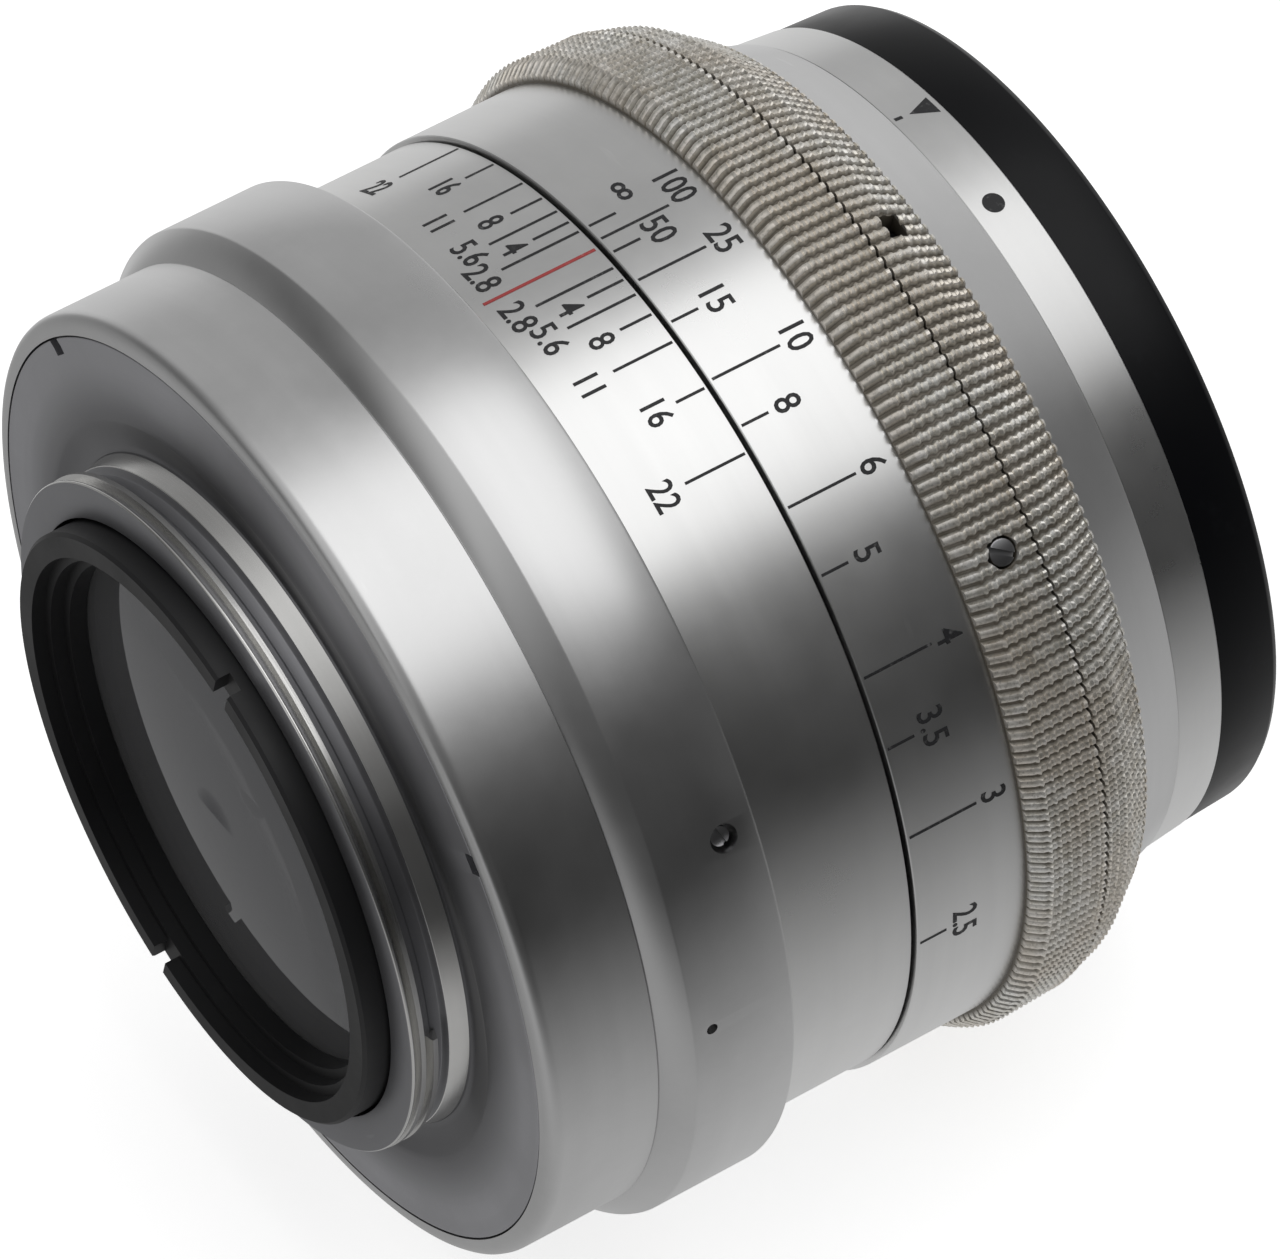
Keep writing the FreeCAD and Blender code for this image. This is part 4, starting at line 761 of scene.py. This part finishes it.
def knurled_band(rows, crest):
    """A band of ridges, one copied round; crest gives the radius of the tops at a station."""
    form = bmesh.new()
    lines = []
    for station, swing, cut in rows:
        top = crest(station) - CUT_DEPTH * cut
        bottom = crest(station) - GROOVE_DEPTH
        line = []
        for share, fall in zip(RIDGE_SHARES, RIDGE_FALLS):
            sideways = swing * BEAD_SWING if 0 < share < 1 else 0
            turn = math.tau * (share + sideways - 0.5) / RIDGES
            radius = (top + (bottom - top) * fall) * MM
            line.append(form.verts.new((-radius * math.sin(turn), -station * MM,
                                        radius * math.cos(turn))))
        lines.append(line)
    for near, far in zip(lines, lines[1:]):
        for index in range(len(RIDGE_SHARES) - 1):
            form.faces.new((near[index], near[index + 1], far[index + 1], far[index]))
    bmesh.ops.spin(form, geom=form.verts[:] + form.edges[:] + form.faces[:], cent=(0, 0, 0),
                   axis=(0, 1, 0), angle=math.tau, steps=RIDGES, use_duplicate=True)
    bmesh.ops.remove_doubles(form, verts=form.verts, dist=WELD)
    for vert in form.verts:
        wear = 0.5 + 0.5 * noise.noise(vert.co * WEAR_SCALE)
        scale = 1 - WEAR_DEPTH * MM * wear / reach_of(vert)
        vert.co = Vector((vert.co.x * scale, vert.co.y, vert.co.z * scale))
    return form


def carry_on(form, station, path):
    """Carry the open edge at a station on through more (radius, station) corners."""
    loop = [edge for edge in form.edges if edge.is_boundary
            and all(abs(vert.co.y + station * MM) < SAME_RING for vert in edge.verts)]
    for radius, next_station in path:
        made = bmesh.ops.extrude_edge_only(form, edges=loop)["geom"]
        new = {item for item in made if isinstance(item, bmesh.types.BMVert)}
        edges = [item for item in made if isinstance(item, bmesh.types.BMEdge)]
        loop = [edge for edge in edges if edge.verts[0] in new and edge.verts[1] in new]
        for vert in new:
            scale = radius * MM / reach_of(vert)
            vert.co = Vector((vert.co.x * scale, -next_station * MM, vert.co.z * scale))


def close_ring(form):
    """Weld the edges that were carried on, and turn the faces outwards."""
    bmesh.ops.remove_doubles(form, verts=form.verts, dist=WELD)
    face_outwards(form)
    print("open edges:", sum(edge.is_boundary for edge in form.edges))


def slope(first, first_radius, last, last_radius):
    """The radius at a station on a straight slope."""
    return lambda station: (first_radius + (last_radius - first_radius)
                            * (station - first) / (last - first))


print(RIDGES, "ridges of", round(360 / RIDGES, 3), "degrees")

# %% [markdown]
# ## Dirt and painted shade in the knurl
# Skin oil and dust stay in the grooves and turn warm grey, and the grooves also lie in shade, so
# their dark colour is dirt and painted shade at once. The tops of the ridges are rubbed bright. How
# deep a point lies under the line of the ridge tops is worked out from its own place, so no mask
# has to be painted.


# %% Knurled metal
def knurled_metal(name, front_line, rear_line):
    """Each line is (radius at station 0, rise per millimetre); the lower one is the crest."""
    material, tree, shader = new_finish(name)
    place, parts, reach, _ = barrel_coordinates(tree)
    station = calculate(tree, "MULTIPLY", parts.outputs[1], -1.0)
    tops = [calculate(tree, "ADD", calculate(tree, "MULTIPLY", station, rise), radius * MM)
            for radius, rise in (front_line, rear_line)]
    crest = calculate(tree, "MINIMUM", tops[0], tops[1])
    depth = calculate(tree, "SUBTRACT", crest, reach)
    # Deeper points darken: dirt, and painted shade in the grooves.
    groove_shade_and_grime = remap(tree, depth, 0.17 * MM, 0.46 * MM)
    cloud = noise_at(tree, place, 900.0, 5.0, 0.70)
    patch = noise_at(tree, place, 120.0, 4.0, 0.6)
    grain = noise_at(tree, place, 5200.0, 2.0, 0.6)
    top = blend_colours(tree, remap(tree, cloud, 0.38, 0.62),
                        (0.72, 0.70, 0.64, 1), (1.0, 0.99, 0.96, 1))
    worn = blend_colours(tree, remap(tree, patch, 0.42, 0.62, 0.0, 0.55), top,
                         (0.74, 0.66, 0.56, 1))
    grainy = blend_colours(tree, remap(tree, grain, 0.50, 0.66, 0.0, 0.4), worn,
                           (0.30, 0.28, 0.25, 1))
    # The groove colour is dirt and painted shade.
    colour = blend_colours(tree, groove_shade_and_grime, grainy, (0.135, 0.118, 0.092, 1))
    fill(tree, shader, {"Base Color": colour, "Metallic": remap(tree, groove_shade_and_grime, 0.0, 0.9, 0.9, 0.3),
                        "Roughness": remap(tree, cloud, 0.3, 0.7, 0.34, 0.55),
                        "Normal": bumps(tree, noise_at(tree, place, 2400.0, 2.0), 0.5, 0.02)})
    return material


grip_metal = knurled_metal("knurled_focusing_grip", (32.229, -0.03947), (3.95, 0.83333))
aperture_metal = knurled_metal("knurled_aperture_grip", (40.838, -0.27778), (58.925, -0.75))
print("knurled metals ready")

# %% [markdown]
# ## Shapes of the two grips
# Each grip rises from one edge and falls away, so the height of its ridges is the lower of two
# straight slopes. The open edges of the knurled band are carried on to a bore, which closes it
# like a thick ring, and the screw pits are cut last. A displaced cylinder would be quicker, but
# its ridges couldn't end in a clean edge.

# %% Focusing grip
GRIP_BORE = 23.97
GRIP_SCREW = (34.3, 51.3)    # station and angle of the first screw
rear_bevel = slope(31.5, 30.2, 32.4, 30.95)
front_fall = slope(32.4, 30.95, 36.2, 30.8)


def grip_crest(station):
    """The grip rises from its rear edge to a crest and is nearly straight ahead of it."""
    return min(rear_bevel(station), front_fall(station))


grip_rows = [(31.5, 0, 0), (31.8, 0, 0), (32.1, 0, 0)] + bead_rows(32.35, 36.05) + [(36.27, 0, 0)]
grip = knurled_band(grip_rows, grip_crest)
carry_on(grip, 31.5, [(GRIP_BORE, 31.5), (GRIP_BORE, 36.27)])
carry_on(grip, 36.27, [(GRIP_BORE, 36.27)])
close_ring(grip)
pits = bmesh.new()
for turn in SCREW_TURNS:
    add_rod(pits, 0.95, 9.0, seat_matrix(32.0, GRIP_SCREW[0], GRIP_SCREW[1] + turn))
grip = cut_away(grip, pits)
finish_piece(grip, "knurled_focusing_grip", "focusing_ring", "knurled_metal", grip_metal,
             replaces=["focus_grip"])

# %% Aperture grip and its plain band
APERTURE_BORE = 24.25
BAND_START = 40.68 * MM
APERTURE_SCREW = (38.45, 14.7)    # station and angle
grip_shoulder = slope(36.5, 30.7, 38.3, 30.2)
grip_slope = slope(38.3, 30.2, 40.7, 28.4)


def aperture_crest(station):
    """The aperture grip falls slowly to its shoulder and faster ahead of it."""
    return min(grip_shoulder(station), grip_slope(station))


aperture_rows = [(36.46, 0, 0)] + bead_rows(36.56, 40.55) + [(40.7, 0, 0)]
aperture_grip = knurled_band(aperture_rows, aperture_crest)
carry_on(aperture_grip, 36.46, [(APERTURE_BORE, 36.46), (APERTURE_BORE, 44.34)])
carry_on(aperture_grip, 40.7, [(27.46, 40.7), (27.40, 40.78), (26.32, 44.26), (26.25, 44.34),
                               (APERTURE_BORE, 44.34)])
close_ring(aperture_grip)
pocket = bmesh.new()
add_box(pocket, (1.5, 1.25, 10.0), seat_matrix(26.0, *APERTURE_SCREW))
aperture_grip = cut_away(aperture_grip, pocket)
for face in aperture_grip.faces:
    face.material_index = 1 if face.calc_center_median().y < -BAND_START else 0
finish_piece(aperture_grip, "knurled_aperture_ring", "aperture", "knurled_metal",
             aperture_metal, satin_aluminium, replaces=["aperture_ring"])

# %% [markdown]
# ## Front rim and bezel
# The rim has a thread for filters inside, and the bezel behind it has fine rings that keep it from
# shining into the glass. Both are turned outlines. The rings of the bezel are a zigzag added to
# the outline in a loop, which is shorter than writing each corner down.

# %% Black front rim
FILTER_CREST, FILTER_CORE, FILTER_PITCH = 24.13, 24.5, 0.75
rim = spin_outline([
    (22.7, 46.5), (24.2, 46.5), (24.2, 47.6), (25.85, 47.6), (25.66, 51.35), (25.4, 51.75),
    (24.85, 51.75), (24.5, 51.45), (24.5, 49.2), (24.1, 49.2), (24.1, 48.6), (22.7, 48.6)])
break_edges(rim, 0.06, 25.0)
add_thread(rim, FILTER_CORE, FILTER_CREST, FILTER_PITCH, 49.55, 2.2)
face_outwards(rim)
finish_piece(rim, "black_front_rim", "optics", "black_metal", black_lacquer,
             replaces=["filter_rim"])

# %% Bezel with fine rings
BEZEL_RINGS = 13
RING_PITCH, RING_WIDTH, RING_DEPTH = 0.32, 0.12, 0.09
BEZEL_RISE = 2.3 / 4.7
rings_of_bezel = [(17.9, 46.9), (18.15, 47.02)]
for index in range(BEZEL_RINGS):
    radius = 18.3 + index * RING_PITCH
    face_station = 46.9 + (radius - 17.9) * BEZEL_RISE
    rings_of_bezel += [(radius, face_station), (radius + RING_WIDTH, face_station - RING_DEPTH)]
bezel = spin_outline([(17.9, 46.3)] + rings_of_bezel
                     + [(22.6, 49.15), (24.0, 49.15), (24.05, 48.6), (22.6, 48.6)])
finish_piece(bezel, "ringed_front_bezel", "optics", "black_anodised", matt_black,
             replaces=["front_bezel"])

# %% [markdown]
# ## Screws
# The small screws that hold the rings have slotted heads. Each is a rod with a broken edge and a
# box cut across it for the slot, turned to a different angle, as a hand would have left it. One
# function makes a set of up to three from the (station, angle) of its first screw.


# %% Slotted screws
def slotted_screws(name, body, slot, radius, foot, top, place, slot_turns, finish, replaced):
    """Screws that point to the axis, from a foot radius to the radius of their heads."""
    form = bmesh.new()
    slots = bmesh.new()
    for turn, slot_turn in zip(SCREW_TURNS, slot_turns):
        seat = seat_matrix(top, place[0], place[1] + turn)
        add_rod(form, radius, top - foot, seat)
        add_box(slots, (radius * 3, radius * 0.36, radius * 0.7),
                seat @ Matrix.Rotation(math.radians(slot_turn), 4, "Z"))
    heads = [edge for edge in form.edges
             if edge.calc_face_angle(0.0) > 1.0
             and min(reach_of(vert) for vert in edge.verts) > (top - 0.3) * MM]
    bmesh.ops.bevel(form, geom=heads, offset=radius * 0.14 * MM, offset_type="OFFSET",
                    segments=2, profile=0.5, affect="EDGES", clamp_overlap=True, material=-1)
    finish_piece(cut_away(form, slots), name, body, slot, finish, replaces=[replaced])


slotted_screws("collar_slotted_screws", "barrel", "steel", 0.6, 27.4, 30.55, COLLAR_SCREW,
               (20, 75, 130), steel, "collar_screws")
slotted_screws("grip_slotted_screws", "focusing_ring", "steel", 0.8, 22.05, 30.60, GRIP_SCREW,
               (55, 10, 100), steel, "focus_grip_screws")
slotted_screws("aperture_slotted_screw", "aperture", "dark_steel", 0.6, 19.75, 28.2,
               APERTURE_SCREW, (35,), blade_steel, "aperture_drive_screw")

# %% [markdown]
# ## Scales
# The figures on the real barrel are engraved and filled with paint. Here each is a thin layer of
# paint that follows the round surface: flat text or a flat bar is bent round the barrel. Cutting
# them in would add many small faces and look the same from this far. The fixed ring has the stops,
# once on each side of the red index.


# %% Paint on a barrel
PAINT_LIFT = 0.022
PAINT_DEPTH = 0.05
LONGEST_FLAT = 0.7
CAPITAL_SHARE = 0.70    # height of a figure as a share of the type size
BOLDNESS = 0.012
LINE_WIDTH = 0.17


def wrap_paint(form, flat, radius_at, station, angle, lift=PAINT_LIFT):
    """Bend a flat bmesh (x round the barrel, y forward, in mm) onto it, and add it to a form."""
    bmesh.ops.triangulate(flat, faces=flat.faces)
    long_edges = [edge for edge in flat.edges if edge.calc_length() > LONGEST_FLAT]
    bmesh.ops.subdivide_edges(flat, edges=long_edges, cuts=3)
    flat.verts.index_update()
    copies = []
    for vert in flat.verts:
        here = station + vert.co.y
        radius = radius_at(here)
        turn = math.radians(angle) + vert.co.x / radius
        high = (radius + lift) * MM
        copies.append(form.verts.new((-high * math.sin(turn), -here * MM,
                                      high * math.cos(turn))))
    for face in flat.faces:
        form.faces.new([copies[vert.index] for vert in face.verts])
    flat.free()


def thicken(form):
    """Give the paint a back under the surface, so that it is a closed thin body."""
    bmesh.ops.remove_doubles(form, verts=form.verts, dist=0.0005 * MM)
    bmesh.ops.recalc_face_normals(form, faces=form.faces)
    bmesh.ops.solidify(form, geom=form.faces[:], thickness=PAINT_DEPTH * MM)
    face_outwards(form)
    return form


def flat_text(words, height, narrow):
    """Figures as a flat bmesh in millimetres, centred on their own middle."""
    curve = bpy.data.curves.new("figure", "FONT")
    curve.body = words
    curve.size = height / CAPITAL_SHARE
    curve.offset = BOLDNESS * height
    curve.resolution_u = 3
    holder = new_object("figure", curve)
    view = bpy.context.evaluated_depsgraph_get()
    flat = bmesh.new()
    flat.from_mesh(holder.evaluated_get(view).to_mesh())
    bpy.data.objects.remove(holder)
    bpy.data.curves.remove(curve)
    bmesh.ops.remove_doubles(flat, verts=flat.verts, dist=0.001)
    xs = [vert.co.x for vert in flat.verts]
    ys = [vert.co.y for vert in flat.verts]
    middle = Vector(((min(xs) + max(xs)) / 2, (min(ys) + max(ys)) / 2, 0))
    for vert in flat.verts:
        vert.co = Vector(((vert.co.x - middle.x) * narrow, vert.co.y - middle.y, 0))
    return flat


def flat_bar(width, length):
    """A bar that starts at its own origin and runs forward."""
    flat = bmesh.new()
    bmesh.ops.create_grid(flat, x_segments=1, y_segments=8, size=0.5)
    for vert in flat.verts:
        vert.co = Vector((vert.co.x * width, (vert.co.y + 0.5) * length, 0))
    return flat


print("paint is", PAINT_LIFT, "mm proud of the metal")

# %% Stops on the fixed ring
DEPTH_RADIUS = 29.3
LINES_END = 23.85
# Each stop has its number, its angle from the index, and the stations of its figure and its line.
STOPS = ((22, 29.8, 18.55, 19.95), (16, 21.4, 20.75, 22.0), (11, 15.0, 18.4, 20.0),
         (8, 10.9, 20.55, 21.8), ("5.6", 7.8, 18.2, 19.4), (4, 5.4, 20.3, 21.5),
         ("2.8", 3.4, 17.6, 18.8))
depth_marks = bmesh.new()
for stop, offset, figure_station, line_start in STOPS:
    for side in (-1, 1):
        wrap_paint(depth_marks, flat_text(str(stop), 1.55, 0.8), lambda s: DEPTH_RADIUS,
                   figure_station, side * (offset + 0.2))
        wrap_paint(depth_marks, flat_bar(LINE_WIDTH, LINES_END - line_start),
                   lambda s: DEPTH_RADIUS, line_start, side * offset)
finish_piece(thicken(depth_marks), "depth_scale_figures", "barrel", "black_metal", black_paint)
index_line = bmesh.new()
wrap_paint(index_line, flat_bar(0.20, 7.3), lambda s: DEPTH_RADIUS, 16.5, 0.0, lift=0.026)
finish_piece(thicken(index_line), "red_index_line", "barrel", "black_metal", red_paint)

# %% [markdown]
# ## Distances and aperture marks
# The focusing ring has distances in feet, in two rows so that they don't touch. The glass moves
# by an amount that goes with one over the distance, and so does the angle of each line, so a
# formula places them all. Measured angles would also do, but each would carry a slip of reading.
# The sign for infinity is a figure 8 on its side. The front ring has a triangle and a dot.

# %% Distances on the focusing ring
DISTANCE_RADIUS = 29.6
INFINITY_ANGLE = -2.9
TICK_ANGLE_FEET = 240.0
NEAR_ROW = ("infinity", "50", "15", "8", "5", "3.5", "2.5")
DISTANCES = (("infinity", None), ("100", 100), ("50", 50), ("25", 25), ("15", 15), ("10", 10),
             ("8", 8), ("6", 6), ("5", 5), ("4", 4), ("3.5", 3.5), ("3", 3), ("2.5", 2.5))
FIGURE_SHIFT = {"infinity": -2.6, "100": -2.0}
distance_marks = bmesh.new()
for words, feet in DISTANCES:
    tick = INFINITY_ANGLE + (TICK_ANGLE_FEET / feet if feet else 0)
    near = words in NEAR_ROW
    wrap_paint(distance_marks, flat_bar(LINE_WIDTH, 1.75 if near else 4.45),
               lambda s: DISTANCE_RADIUS, 24.4, tick)
    figure = flat_text("8" if words == "infinity" else words, 1.6, 0.85)
    if words == "infinity":
        bmesh.ops.rotate(figure, verts=figure.verts, cent=(0, 0, 0),
                         matrix=Matrix.Rotation(math.pi / 2, 3, "Z"))
    wrap_paint(distance_marks, figure, lambda s: DISTANCE_RADIUS, 27.4 if near else 30.0,
               tick + FIGURE_SHIFT.get(words, 0.0))
finish_piece(thicken(distance_marks), "distance_scale_figures", "focusing_ring", "black_metal",
             black_paint)

# %% Marks for the aperture
index_slope = slope(44.4, 26.2, 47.6, 25.9)
TRIANGLE_ANGLE = -3.2
DOT_ANGLE = 14.3
stop_marks = bmesh.new()
triangle = bmesh.new()
triangle.faces.new([triangle.verts.new(place)
                    for place in ((-0.75, 0.0, 0), (0.0, -1.6, 0), (0.75, 0.0, 0))])
wrap_paint(stop_marks, triangle, index_slope, 47.25, TRIANGLE_ANGLE)
wrap_paint(stop_marks, flat_bar(0.24, 0.5), index_slope, 44.65, TRIANGLE_ANGLE)
dot = bmesh.new()
bmesh.ops.create_circle(dot, cap_ends=True, segments=28, radius=0.66)
wrap_paint(stop_marks, dot, index_slope, 45.9, DOT_ANGLE)
finish_piece(thicken(stop_marks), "aperture_index_marks", "optics", "black_metal", black_paint)

# %% [markdown]
# ## Finishes of the turned CAD parts
# The other parts keep their CAD shape, which is already exact, and only get a finish. Choosing it
# by part rather than by colour slot tells the pale engraved rings from the satin barrel.

# %% Finishes by part
FINISHES = {
    satin_aluminium: ("front_barrel",),
    brass: ("helicoid_nut", "helicoid_keeper", "inner_barrel", "guide_key"),
    steel: ("focus_stop_pin", "guide_key_screws", "iris_drive_sleeve"),
    outer_glass: ("front_lens",),
    rear_glass: ("rear_lens",),
    inner_glass: ("front_doublet_front_glass", "front_doublet_rear_glass",
                  "rear_doublet_front_glass", "rear_doublet_rear_glass"),
}
finish_of = {part: finish for finish, parts in FINISHES.items() for part in parts}
for name, node in cad_nodes.items():
    finish = blade_steel if name.startswith("iris_blade") else finish_of.get(name, matt_black)
    node.data.materials.clear()
    node.data.materials.append(finish)
print("finished parts:", len(cad_nodes), "matt black:",
      sum(1 for name in cad_nodes if name not in finish_of and "blade" not in name))
